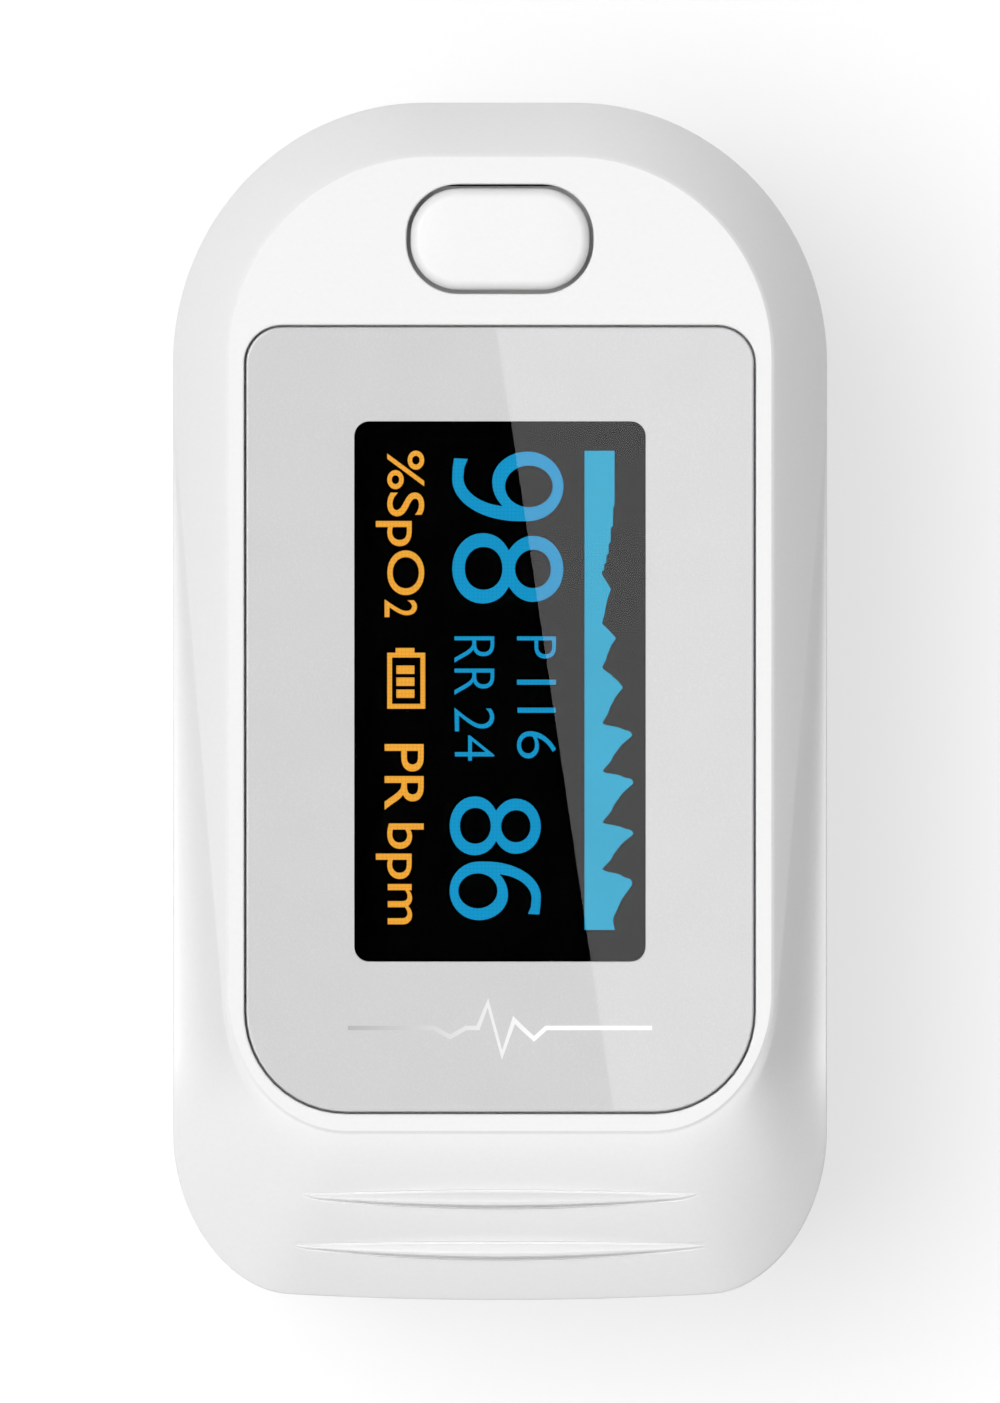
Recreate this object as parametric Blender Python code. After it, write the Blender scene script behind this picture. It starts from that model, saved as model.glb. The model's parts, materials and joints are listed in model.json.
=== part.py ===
"""Fingertip pulse oximeter, built as the separate pieces it comes apart into.

Two hollow jaws meet on a parting plane and turn on a steel axle. The lower jaw holds two AAA cells
behind a sliding door, the upper jaw holds the display, the board and the power button, and each
jaw carries a rubber-lined finger trough.

Axes: +X to the right, +Y towards the end where the finger goes in, +Z up. The origin is on the
table, under the middle of the object. Sizes below are in millimetres and become metres in
add_solid. Shapes given in the jaw frame count Z from the parting plane, which passes through the
hinge axis and rises by RAKE_DEG towards the finger end.
"""

import math
from collections import namedtuple

import bmesh
import bpy
from mathutils import Matrix, Vector

MM = 0.001

# ---------------------------------------------------------------- driving dimensions
LENGTH = 60.0
FRONT_Y = LENGTH / 2
HINGE_Y = -12.0
HINGE_Z = 18.15
RAKE_DEG = 0.85
HALF_GAP = 0.15  # half of the slit between the closed jaws
FIT = 0.15  # clearance between neighbouring pieces
WALL = 1.4

EDGE_Z = 9.35  # jaw frame: the ridge where the side walls meet the sloping top
SKIRT = 1.15  # height of the top cover's side wall below that ridge
TOP_Z = 13.9  # jaw frame: the flat rim round the display
CEILING_Z = 11.9  # jaw frame: underside of the top cover's flat plate
MOUTH_DEPTH = 4.6  # how far back the finger opening's chamfer reaches
MOUTH_RISE = 4.1
UPPER_V_DEG = 19.05  # the notch behind the hinge, above and below the parting plane
LOWER_V_DEG = 20.5

EAR_R = 6.35
EAR_IN, EAR_OUT = 14.4, 16.38
AXLE_R = 1.0
AXLE_HALF = 15.6
BARREL_IN, BARREL_OUT = 4.5, 5.3
LUG_IN, LUG_OUT = 12.4, 14.1

DOOR_REAR_Y = -17.4
DOOR_TOP_Z = 5.2
DOOR_WALL = 1.1
LATCH_HALF, LATCH_TOP = 1.6, 2.1
LABEL = (24.7, 17.0, 9.57, 0.25)  # width, length, middle in Y, depth
ARROW = ((-1.2, -9.8), (1.2, -9.8), (1.2, -6.5), (2.6, -6.5), (0.0, -3.7), (-2.6, -6.5), (-1.2, -6.5))
ARROW_MID = -6.75
ARROW_DISH = (((10.4, 5.75), -0.12), ((3.6, 3.75), 0.12))  # half sizes at two heights
SCOOP_R, SCOOP_Y, SCOOP_DEPTH = 4.7, -15.9, 0.6
THUMB_BARS = ((4.6, -13.2), (7.2, -15.4))  # width, place in Y
CELL_R, CELL_X, CELL_Z = 5.25, 5.35, 6.7
BAY_HALF, BAY_FRONT, BAY_REAR, BAY_TOP = 11.0, 25.75, -23.3, 12.15
DECK_TOP = 12.9

LENS = (25.35, 39.2, -0.7)  # width, length, middle in Y
WINDOW = (14.56, 27.0, 0.7)
BUTTON = (8.94, 5.07, 23.3)
PCB_LOW, PCB_TOP = 8.15, 9.15
SWITCH_TOP = 10.55
SCREW_X = 12.2
SCREW_Y = (18.0, -3.0)
BOARD_SCREWS = ((0.0, -19.4), (-7.6, 19.4), (7.6, 19.4))
RIBS = ((0.61, 10.0), (0.3, 10.3))  # share of the way up the sloping rear, and half width
BULGE = 0.2  # how far the sloping band swells over a straight slope
REAR_CURVE = 1.45  # 1 would make the sloping rear straight

TROUGH_END = -5.6
TROUGH_STEPS = 10
STATIONS = (-5.4, -5.0, -4.2, -2.8, -0.8, 2.4, 8.0, 14.0, 19.0, 22.0, 25.0, 28.3)
UPPER_DEPTH, LOWER_DEPTH = 4.0, 3.3
SENSOR_Y = 10.0

Plan = namedtuple("Plan", "half front rear front_a front_b rear_a rear_b bow")
RAKE_SHIFT = 0.14  # the tilt carries the upper jaw's edge this far back
UPPER = Plan(16.4, FRONT_Y + RAKE_SHIFT, RAKE_SHIFT - 29.3, 12.6, 13.1, 5.8, 7.8, 0.7)
ISLAND = Plan(13.7, FRONT_Y - 2.45, -21.4, 10.2, 10.2, 6.1, 7.1, 0.0)
DRAFT_FROM_Z, LOWER_SKIN_TOP, DRAFT_RATE = 6.8, 21.0, 0.031
LOWER = Plan(16.15, FRONT_Y, -28.7, 12.4, 13.0, 5.8, 7.2, 0.7)

SIDE_END = -14.7  # where the rear corners begin to be counted
SEGMENTS = {"front": 1, "front_corner": 8, "side": 7, "rear_corner": 8, "rear": 2}
FINE = {"front": 1, "front_corner": 2, "side": 1, "rear_corner": 20, "rear": 12}
ROUND = 24


# ---------------------------------------------------------------- outlines
def inset(plan, by):
    """The same outline, moved inwards by this much."""
    return Plan(
        plan.half - by,
        plan.front - by,
        plan.rear + by,
        plan.front_a - by,
        plan.front_b - by,
        max(plan.rear_a - by, 0.8),
        max(plan.rear_b - by, 0.8),
        plan.bow,
    )


def along(path, count):
    """count + 1 points spaced evenly along a path of points."""
    steps = [0.0]
    for a, b in zip(path, path[1:]):
        steps.append(steps[-1] + math.dist(a, b))
    points = []
    for k in range(count + 1):
        reach = steps[-1] * k / count
        i = max(j for j in range(len(path) - 1) if steps[j] <= reach + 1e-9)
        share = (reach - steps[i]) / (steps[i + 1] - steps[i])
        a, b = path[i], path[i + 1]
        points.append((a[0] + (b[0] - a[0]) * share, a[1] + (b[1] - a[1]) * share))
    return points


def arc(cx, cy, a, b, start, end, count):
    """Points of an ellipse's arc, in degrees from +X."""
    turns = [math.radians(start + (end - start) * k / count) for k in range(count + 1)]
    return [(cx + a * math.cos(t), cy + b * math.sin(t)) for t in turns]


def right_half(plan, segments):
    """The outline's right half, from the middle of the finger end to the middle of the rear."""
    flat = plan.half - plan.front_a
    shoulder = plan.front - plan.front_b
    heel = plan.rear + plan.rear_b
    tail = plan.half - plan.rear_a
    dense = 24
    parts = (
        ("front", [(0.0, plan.front), (flat, plan.front)]),
        ("front_corner", arc(flat, shoulder, plan.front_a, plan.front_b, 90, 0, dense)),
        ("side", [(plan.half, shoulder), (plan.half, SIDE_END)]),
        (
            "rear_corner",
            [(plan.half, SIDE_END)]
            + arc(tail, heel, plan.rear_a, plan.rear_b, 0, -90, dense),
        ),
        ("rear", [(tail, plan.rear), (0.0, plan.rear)]),
    )
    points = []
    for name, path in parts:
        points += along(path, segments[name])[:-1]
    points.append((0.0, plan.rear))
    bowed = []
    for x, y in points:
        depth = max(0.0, (heel - y) / plan.rear_b)
        bowed.append((x, y - plan.bow * depth**2 * (1 - (x / plan.half) ** 2)))
    return bowed


def outline(plan, segments=None):
    """The whole closed outline, anticlockwise seen from above."""
    half = right_half(plan, segments or SEGMENTS)
    return [(-x, y) for x, y in half] + [(x, y) for x, y in reversed(half[1:-1])]


def rounded_rectangle(width, length, radius, mid_y, steps=5):
    """A rectangle with round corners, anticlockwise."""
    w, h = width / 2 - radius, length / 2 - radius
    points = []
    for k, (sx, sy) in enumerate(((1, 1), (-1, 1), (-1, -1), (1, -1))):
        points += arc(sx * w, mid_y + sy * h, radius, radius, 90 * k, 90 * k + 90, steps)
    return points


def lens_outline(grow):
    """The lens has small corners near the button and large ones at the rear."""
    w, length, mid = LENS
    half, small, large = w / 2 + grow, 1.8 + grow, 5.0 + grow
    top, low = mid + length / 2 + grow, mid - length / 2 - grow
    points = arc(half - small, top - small, small, small, 0, 90, 4)
    points += arc(small - half, top - small, small, small, 90, 180, 4)
    points += arc(large - half, low + large, large, large, 180, 270, 7)
    points += arc(half - large, low + large, large, large, 270, 360, 7)
    return points


# ---------------------------------------------------------------- the top cover's sloping band
def edge_height(y):
    """The ridge rises a little at the finger end and at the rear corners."""
    front = max(0.0, (y - 14.0) / 16.0)
    rear = max(0.0, (-26.0 - y) / 4.0)
    return EDGE_Z + 1.1 * front**2 + 0.65 * rear**2


def crease_share(y):
    """How far up the band the crease has climbed: none near the front, nearly all at the rear."""
    return min(0.92, max(0.0, (14.6 - y) / 32.1))


def rear_share(y):
    """How much of the band's shape here is the sloping rear's."""
    share = min(1.0, max(0.0, (-17.0 - y) / 9.0))
    return share * share * (3 - 2 * share)


def band_share(y, s):
    """Spreads the band's rings so that the middle one, s = 0.5, runs along the crease."""
    middle = max(0.16, crease_share(y))
    middle += (0.5 - middle) * rear_share(y)
    if s < 0.5:
        return middle * s * 2
    return middle + (1 - middle) * (s * 2 - 1)


def band_height(y_edge, t):
    """Height of the band at share t of the way from the ridge to the flat rim."""
    low = edge_height(y_edge)
    rise = TOP_Z - 0.1 - low
    bevel = t + BULGE * t * (1 - t)
    crease = crease_share(y_edge)
    if t < crease:
        at_crease = crease + BULGE * crease * (1 - crease)
        bevel = at_crease * (t / crease) ** 2.2
    slope = 1 - (1 - t) ** REAR_CURVE
    return low + rise * (bevel + (slope - bevel) * rear_share(y_edge))


def band_ring(s, by=0.0, drop=0.0, segments=None):
    """A ring of the band, or with by and drop, of the cover's inner face under it."""
    ring = []
    edge = outline(UPPER, segments)
    outer, inner = (outline(inset(plan, by), segments) for plan in (UPPER, ISLAND))
    for (_, y), (xa, ya), (xb, yb) in zip(edge, outer, inner):
        t = band_share(y, s)
        ring.append((xa + (xb - xa) * t, ya + (yb - ya) * t, band_height(y, t) - drop))
    return ring


# ---------------------------------------------------------------- solids, as bmesh in millimetres
def loft(rings):
    """Skins rings of equal length and caps the first and the last."""
    bm = bmesh.new()
    rows = [[bm.verts.new(p) for p in ring] for ring in rings]
    count = len(rows[0])
    for low, high in zip(rows, rows[1:]):
        for k in range(count):
            n = (k + 1) % count
            bm.faces.new((low[k], low[n], high[n], high[k]))
    bm.faces.new(rows[0][::-1])
    bm.faces.new(rows[-1])
    bmesh.ops.recalc_face_normals(bm, faces=bm.faces)
    return bm


def level(points, z):
    return [(x, y, z) for x, y in points]


def prism(points, low, high):
    return loft([level(points, low), level(points, high)])


def side_prism(points, x0, x1):
    """Extrudes a (Y, Z) polygon across X."""
    return loft([[(x, y, z) for y, z in points] for x in (x0, x1)])


def box(x0, x1, y0, y1, z0, z1):
    return prism([(x0, y0), (x1, y0), (x1, y1), (x0, y1)], z0, z1)


def turned(profile, axis, at=(0.0, 0.0, 0.0), count=ROUND):
    """A turned solid: profile is (radius, place along the axis), axis is X, Y or Z."""
    rings = []
    for radius, s in profile:
        ring = []
        for c, n in arc(0, 0, radius, radius, 0, 360 * (count - 1) / count, count - 1):
            spot = {"X": (s, c, n), "Y": (c, s, n), "Z": (c, n, s)}[axis]
            ring.append([spot[i] + at[i] for i in range(3)])
        rings.append(ring)
    return loft(rings)


def cylinder_x(y, z, radius, x0, x1, count=ROUND):
    return turned([(radius, x0), (radius, x1)], "X", (0, y, z), count)


def cylinder_z(x, y, radius, z0, z1, count=16):
    return turned([(radius, z0), (radius, z1)], "Z", (x, y, 0), count)


# ---------------------------------------------------------------- objects
def material(name, colour, roughness, metallic=0.0):
    made = bpy.data.materials.new(name)
    made.use_nodes = True
    shader = made.node_tree.nodes["Principled BSDF"]
    shader.inputs["Base Color"].default_value = (*colour, 1.0)
    shader.inputs["Roughness"].default_value = roughness
    shader.inputs["Metallic"].default_value = metallic
    return made


def add_empty(name, location, tilt=0.0):
    empty = bpy.data.objects.new(name, None)
    empty.location = Vector(location) * MM
    empty.rotation_euler.x = math.radians(tilt)
    bpy.context.collection.objects.link(empty)
    return empty


def place(obj, frame):
    """Puts an object in a frame. Jaw frames sit on the hinge axis, with Y still counted as above."""
    if frame is not None:
        obj.parent = frame
        obj.location.y = -HINGE_Y * MM
    bpy.context.collection.objects.link(obj)
    return obj


def add_solid(name, bm, finish, frame=None):
    bm.transform(Matrix.Scale(MM, 4))
    mesh = bpy.data.meshes.new(name)
    bm.to_mesh(mesh)
    bm.free()
    obj = place(bpy.data.objects.new(name, mesh), frame)
    if finish is not None:
        mesh.materials.append(finish)
        mesh.shade_smooth()
        mesh.set_sharp_from_angle(angle=math.radians(35))
    return obj


def shape(obj, operation, bm, frame=None):
    """Cuts, joins or crops an object with a hidden tool solid."""
    number = len(obj.modifiers)
    tool = add_solid(f"tool.{obj.name}.{number}", bm, None, frame)
    tool.hide_render = True
    tool.display_type = "WIRE"
    modifier = obj.modifiers.new(f"{operation.lower()}_{number}", "BOOLEAN")
    modifier.operation = operation
    modifier.object = tool


def cut(obj, bm, frame=None):
    shape(obj, "DIFFERENCE", bm, frame)


def join(obj, bm, frame=None):
    shape(obj, "UNION", bm, frame)


def add_wire(name, points, radius, finish, frame=None):
    """A round wire along a list of points."""
    curve = bpy.data.curves.new(name, "CURVE")
    curve.dimensions = "3D"
    curve.bevel_depth = radius * MM
    curve.bevel_resolution = 1
    curve.use_fill_caps = True
    spline = curve.splines.new("POLY")
    spline.points.add(len(points) - 1)
    for spot, point in zip(spline.points, points):
        spot.co = (*(Vector(point) * MM), 1.0)
    curve.materials.append(finish)
    return place(bpy.data.objects.new(name, curve), frame)


def make_materials():
    return {
        "shell": material("white_shell", (0.80, 0.80, 0.80), 0.38),
        "cover": material("white_cover", (0.84, 0.84, 0.84), 0.28),
        "button": material("white_button", (0.88, 0.88, 0.88), 0.25),
        "lens": material("silver_lens", (0.62, 0.62, 0.63), 0.08),
        "oled": material("black_panel", (0.01, 0.01, 0.012), 0.1),
        "cradle": material("dark_cradle", (0.10, 0.10, 0.11), 0.5),
        "rubber": material("soft_rubber", (0.05, 0.05, 0.055), 0.75),
        "foam": material("black_foam", (0.03, 0.03, 0.03), 0.95),
        "board": material("green_board", (0.02, 0.20, 0.09), 0.45),
        "chip": material("black_chip", (0.03, 0.03, 0.03), 0.4),
        "flex": material("amber_flex", (0.55, 0.28, 0.05), 0.35),
        "steel": material("steel", (0.62, 0.62, 0.60), 0.25, 1.0),
        "nickel": material("nickel_contact", (0.70, 0.68, 0.64), 0.3, 1.0),
        "window": material("clear_window", (0.75, 0.20, 0.18), 0.1),
        "cell": material("cell_sleeve", (0.10, 0.22, 0.45), 0.35),
        "insulation": material("red_insulation", (0.45, 0.04, 0.03), 0.5),
    }


# ---------------------------------------------------------------- upper jaw: covers and display
def add_top_cover(finish, jaw):
    """A one-piece cover: side skirt, sloping band with its scooped flanks, and the flat rim."""
    skirt = outline(UPPER)
    low = [(x, y, edge_height(y) - SKIRT) for x, y in skirt]
    lining = outline(inset(UPPER, 1.3))
    lining = [(x, y, z) for (x, y), (_, _, z) in zip(lining, low)]
    inner = [band_ring(s, 1.3, 1.0 + 0.95 * s) for s in (1.0, 0.7, 0.35, 0.0)]
    ceiling = level(outline(inset(ISLAND, 1.5)), CEILING_Z)
    outer = [band_ring(s) for s in (0.0, 0.2, 0.35, 0.5, 0.65, 0.82, 1.0)]
    rim = level(outline(inset(ISLAND, 0.35)), TOP_Z)
    bm = loft([ceiling, *inner, lining, low, *outer, rim])
    quads = [face for face in bm.faces if len(face.verts) == 4]
    bmesh.ops.triangulate(bm, faces=quads, quad_method="SHORT_EDGE")
    cover = add_solid("top_cover", bm, finish, jaw)
    for x in (-SCREW_X, SCREW_X):
        for y in SCREW_Y:
            join(cover, cylinder_z(x, y, 1.9, 3.3, CEILING_Z + 0.6), jaw)
            cut(cover, cylinder_z(x, y, 0.8, 2.0, 9.0, 12), jaw)
    for x, y in BOARD_SCREWS:
        join(cover, cylinder_z(x, y, 1.5, PCB_TOP + FIT, CEILING_Z + 0.6), jaw)
        cut(cover, cylinder_z(x, y, 0.6, PCB_TOP - 1.0, PCB_TOP + 2.6, 12), jaw)
    cut(cover, prism(lens_outline(0.12), TOP_Z - 1.45, TOP_Z + 2.0), jaw)
    w, length, mid = WINDOW
    cut(cover, prism(rounded_rectangle(w + 1.0, length + 1.0, 0.9, mid, 3), 11.0, 14.0), jaw)
    w, length, mid = BUTTON
    cut(cover, prism(rounded_rectangle(w + 0.28, length + 0.28, 2.52, mid), 11.0, 15.0), jaw)
    for share, half in RIBS:
        join(cover, grip_rib(share, half), jaw)
    return cover


def grip_rib(share, half):
    """A crescent rib across the sloping rear, pressed by the thumb to open the jaws."""
    rails = [band_ring(share + d, segments=FINE) for d in (-0.045, 0.0, 0.045)]
    rings = []
    for low, mid, high in zip(*rails):
        x, y, z = mid
        if abs(x) > half or y > ISLAND.rear:
            continue
        size = 0.12 + 0.88 * (1 - (x / half) ** 2)
        ring = [(x, y + (low[1] - y) * size, z + (low[2] - z) * size - 0.05)]
        ring += [(x, y - 0.1 * size, z + 0.4 * size), (x, y + 0.12 * size, z + 0.42 * size)]
        ring += [(x, y + (high[1] - y) * size, z + (high[2] - z) * size - 0.05), (x, y, z - 0.7)]
        rings.append(ring)
    rings.sort(key=lambda ring: ring[0][0])
    return loft(rings)


def add_display(finishes, jaw):
    """The lens, the gasket it is stuck down with, and the display behind it."""
    add_solid("display_lens", prism(lens_outline(0.0), 12.75, 13.87), finishes["lens"], jaw)
    gasket = add_solid("lens_gasket", prism(lens_outline(-0.5), 12.54, 12.71), finishes["foam"], jaw)
    w, length, mid = WINDOW
    cut(gasket, prism(rounded_rectangle(w + 3.0, length + 3.0, 1.0, mid, 3), 12.0, 13.0), jaw)
    panel = rounded_rectangle(19.2, 33.0, 0.5, mid, 2)
    add_solid("oled_panel", prism(panel, 10.3, 11.7), finishes["oled"], jaw)
    pad = rounded_rectangle(15.0, 16.0, 0.6, mid - 3.0, 2)
    add_solid("display_foam_pad", prism(pad, PCB_TOP + 0.1, 10.2), finishes["foam"], jaw)
    tail = ribbon([(-16.05, 10.9), (-16.9, 10.85), (-17.3, 10.4), (-16.95, 9.85), (-15.4, 9.72)], 0.16)
    add_solid("display_flex_tail", side_prism(tail, -5.0, 5.0), finishes["flex"], jaw)


def ribbon(path, thick):
    """The closed (Y, Z) outline of a thin strip that follows a path."""
    sides = ([], [])
    for k, point in enumerate(path):
        before, after = path[max(k - 1, 0)], path[min(k + 1, len(path) - 1)]
        run = Vector((after[0] - before[0], after[1] - before[1])).normalized()
        for side, sign in zip(sides, (-0.5, 0.5)):
            side.append((point[0] - run.y * thick * sign, point[1] + run.x * thick * sign))
    return sides[0] + sides[1][::-1]


# ---------------------------------------------------------------- upper jaw: board and button
def add_board(finishes, jaw):
    """The main board and the parts soldered to it."""
    plan = rounded_rectangle(19.4, 46.0, 1.0, 2.4, 3)
    board = add_solid("main_pcb", prism(plan, PCB_LOW, PCB_TOP), finishes["board"], jaw)
    for x, y in BOARD_SCREWS:
        cut(board, cylinder_z(x, y, 0.95, 8.0, 9.5, 12), jaw)
    chip = rounded_rectangle(7.0, 7.0, 0.3, -4.0, 1)
    add_solid("microcontroller_chip", prism(chip, 7.0, PCB_LOW - 0.05), finishes["chip"], jaw)
    buzzer = [(3.9, 6.0), (4.25, 6.3), (4.25, PCB_LOW - 0.05)]
    add_solid("buzzer", turned(buzzer, "Z", (4.9, -14.4, 0)), finishes["chip"], jaw)
    crystal = rounded_rectangle(2.5, 7.0, 1.2, 5.5, 3)
    shifted = [(x + 6.5, y) for x, y in crystal]
    add_solid("crystal_can", prism(shifted, 7.0, PCB_LOW - 0.05), finishes["nickel"], jaw)
    socket = box(-5.6, 5.6, -16.6, -14.6, PCB_TOP + 0.05, PCB_TOP + 0.4)
    add_solid("display_connector", socket, finishes["cradle"], jaw)
    cable_socket = box(-4.0, 4.0, -8.9, -8.1, 7.1, PCB_LOW - 0.05)
    add_solid("cable_connector", cable_socket, finishes["cradle"], jaw)
    strip = ribbon([(4.9, 6.2), (3.6, 6.25), (2.9, 6.8), (2.95, 7.5), (3.6, 8.02)], 0.14)
    add_solid("emitter_flex", side_prism(strip, -2.0, 2.0), finishes["flex"], jaw)


def add_button(finishes, jaw):
    """The power key with its flange, and the switch under it."""
    w, length, mid = BUTTON
    key = rounded_rectangle(w, length, 2.38, mid)
    crown = rounded_rectangle(w - 0.8, length - 0.8, 1.98, mid)
    flange = rounded_rectangle(w + 1.4, 5.3, 2.4, mid - 0.15)
    stem = rounded_rectangle(2.4, 2.4, 1.2, mid)
    rings = [
        level(stem, SWITCH_TOP + 0.05),
        level(stem, 10.9),
        level(flange, 10.9),
        level(flange, CEILING_Z - 0.12),
        level(key, CEILING_Z - 0.12),
        level(key, TOP_Z - 0.02),
        level(crown, TOP_Z + 0.1),
    ]
    add_solid("power_button", loft(rings), finishes["button"], jaw)
    body = add_solid(
        "switch_body", box(-2.2, 2.2, mid - 1.9, mid + 1.9, PCB_TOP + 0.05, 10.15), finishes["chip"], jaw
    )
    cut(body, cylinder_z(0.0, mid, 1.15, 9.45, 10.5), jaw)
    plunger = cylinder_z(0.0, mid, 1.0, 9.85, SWITCH_TOP)
    add_solid("switch_plunger", plunger, finishes["button"], jaw)


# ---------------------------------------------------------------- troughs the finger lies in
def finger_half_width(y):
    """The trough narrows towards the fingertip and closes round it."""
    reach = min(1.0, max(0.0, (y - TROUGH_END) / 8.0))
    return (7.3 + 0.9 * min(1.0, max(0.0, (y + 4) / 30))) * math.sqrt(1 - (1 - reach) ** 2)


def trough_curve(y, grow, depth, sign, steps=TROUGH_STEPS):
    """Half an ellipse across the trough at this station, from -X to +X."""
    half = finger_half_width(y) + grow
    deep = depth * finger_half_width(y) / 8.2 + grow
    points = arc(0, 0, half, deep, 180, 0, steps)
    return [(x, y, sign * (HALF_GAP + z)) for x, z in points]


def housing_half_width(plan, y):
    """Half of the outline's width at this place."""
    half = right_half(plan, SEGMENTS)
    for (xa, ya), (xb, yb) in zip(half, half[1:]):
        if yb <= y <= ya and ya > yb:
            return xa + (xb - xa) * (ya - y) / (ya - yb)
    return plan.half


def cradle_solid(plan, depth, sign):
    """A flange on the parting plane with the trough's thin shell rising from it."""
    rings = []
    for y in (-8.0, -5.75, *STATIONS):
        wide = housing_half_width(inset(plan, WALL + 0.85), y)
        flange = 1.0
        if y < TROUGH_END:
            inner = [(x, y, sign * (HALF_GAP + 0.02)) for x in ladder(6.0)]
            outer = [(x, y, sign * (HALF_GAP + flange + 0.02)) for x in ladder(6.9)]
        else:
            inner = trough_curve(y, 0.95, depth, sign)
            outer = trough_curve(y, 1.85, depth, sign)
            outer = [(x, yy, sign * max(sign * z, HALF_GAP + flange)) for x, yy, z in outer]
        ring = [(-wide, y, sign * HALF_GAP), *inner, (wide, y, sign * HALF_GAP)]
        ring += [(wide, y, sign * (HALF_GAP + flange)), *outer[::-1]]
        ring += [(-wide, y, sign * (HALF_GAP + flange))]
        rings.append(ring)
    return loft(rings)


def ladder(half):
    """Evenly spaced places across X, as many as a trough curve has points."""
    return [-half + 2 * half * k / TROUGH_STEPS for k in range(TROUGH_STEPS + 1)]


def pad_solid(depth, sign):
    """The rubber lining: the trough's inner surface, 0.75 thick."""
    rings = []
    for y in STATIONS:
        ring = trough_curve(y, 0.0, depth, sign)
        ring += trough_curve(y, 0.75, depth, sign)[::-1]
        rings.append(ring)
    return loft(rings)


def mouth_wall(sign, back):
    """Everything outside the finger opening's chamfer, moved back by this much, as a cutter."""
    slope = math.hypot(MOUTH_DEPTH, MOUTH_RISE)
    shift = back * slope / MOUTH_RISE
    y0 = FRONT_Y - MOUTH_DEPTH - shift
    points = [(y0 - 1.0, sign * (HALF_GAP - MOUTH_RISE / MOUTH_DEPTH))]
    points += [(y0 + 9.0, sign * (HALF_GAP + 9.0 * MOUTH_RISE / MOUTH_DEPTH)), (y0 + 9.0, sign * -6)]
    points += [(y0 - 1.0, sign * -6)]
    return side_prism(points, -20, 20)


def add_finger_parts(side, plan, depth, sign, finishes, jaw):
    """Cradle, rubber pad, optical window and the little board behind it, for one jaw."""
    cradle = add_solid(f"{side}_finger_cradle", cradle_solid(plan, depth, sign), finishes["cradle"], jaw)
    for x in (-SCREW_X, SCREW_X):
        for y in SCREW_Y:
            low, high = sorted((sign * 0.9, sign * 2.2))
            join(cradle, cylinder_z(x, y, 2.0, low, high), jaw)
            low, high = sorted((sign * -0.5, sign * 1.25))
            cut(cradle, cylinder_z(x, y, 1.7, low, high), jaw)
            low, high = sorted((sign * 0.5, sign * 3.0))
            cut(cradle, cylinder_z(x, y, 0.95, low, high, 12), jaw)
    cut(cradle, mouth_wall(sign, WALL + 0.15), jaw)
    pad = add_solid(f"{side}_finger_pad", pad_solid(depth, sign), finishes["rubber"], jaw)
    cut(pad, mouth_wall(sign, 0.6), jaw)
    low, high = sorted((sign * (depth - 2.0), sign * (depth + 3.0)))
    frame = rounded_rectangle(6.6, 8.6, 1.2, SENSOR_Y, 3)
    glass = rounded_rectangle(6.2, 8.2, 1.0, SENSOR_Y, 3)
    cut(pad, prism(frame, low, high), jaw)
    cut(cradle, prism(frame, low, high), jaw)
    z0 = depth * 0.985
    low, high = sorted((sign * (z0 - 0.35), sign * (z0 + 0.65)))
    add_solid(f"{side}_sensor_window", prism(glass, low, high), finishes["window"], jaw)
    low, high = sorted((sign * (z0 + 0.75), sign * (z0 + 1.88)))
    chip = box(-1.6, 1.6, SENSOR_Y - 2.0, SENSOR_Y + 2.0, low, high)
    chip_name = {"upper": "emitter_led", "lower": "photodiode"}[side]
    add_solid(chip_name, chip, finishes["window"], jaw)
    low, high = sorted((sign * (z0 + 1.95), sign * (z0 + 2.45)))
    board = rounded_rectangle(7.6, 9.6, 0.6, SENSOR_Y, 2)
    board_name = {"upper": "emitter_board", "lower": "detector_board"}[side]
    add_solid(board_name, prism(board, low, high), finishes["board"], jaw)


def add_screw(name, x, y, z, sign, length, finish, frame, head=1.5, shank=0.7):
    """A small self-tapping screw with a cross recess. Its head faces against the sign."""
    profile = [(head * 0.8, 0.0), (head, 0.25), (head, 0.85), (shank, 0.85), (shank, length - 0.5)]
    profile += [(shank * 0.4, length)]
    bm = turned([(r, z + sign * s) for r, s in profile], "Z", (x, y, 0), 12)
    screw = add_solid(name, bm, finish, frame)
    low, high = sorted((z - sign * 0.5, z + sign * 0.45))
    cut(screw, box(x - 0.85, x + 0.85, y - 0.17, y + 0.17, low, high), frame)
    cut(screw, box(x - 0.17, x + 0.17, y - 0.85, y + 0.85, low, high), frame)


def add_screws(finish, upper_jaw, lower_jaw):
    """Four screws close each jaw from its parting face, and three hold the main board."""
    number = 0
    for x in (-SCREW_X, SCREW_X):
        for y in SCREW_Y:
            number += 1
            add_screw(f"upper_jaw_screw_{number}", x, y, 0.3, 1, 7.5, finish, upper_jaw)
            add_screw(f"lower_jaw_screw_{number}", x, y, -0.3, -1, 5.2, finish, lower_jaw)
    for number, (x, y) in enumerate(BOARD_SCREWS, 1):
        add_screw(f"board_screw_{number}", x, y, PCB_LOW - 0.95, 1, 3.4, finish, upper_jaw, 1.3, 0.5)


# ---------------------------------------------------------------- upper housing
def radial(degrees, reach, sign):
    """A point of the notch's wall, this far behind the hinge axis, as (Y, Z) in the jaw frame."""
    angle = math.radians(degrees)
    return (HINGE_Y - reach * math.cos(angle), sign * reach * math.sin(angle))


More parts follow.
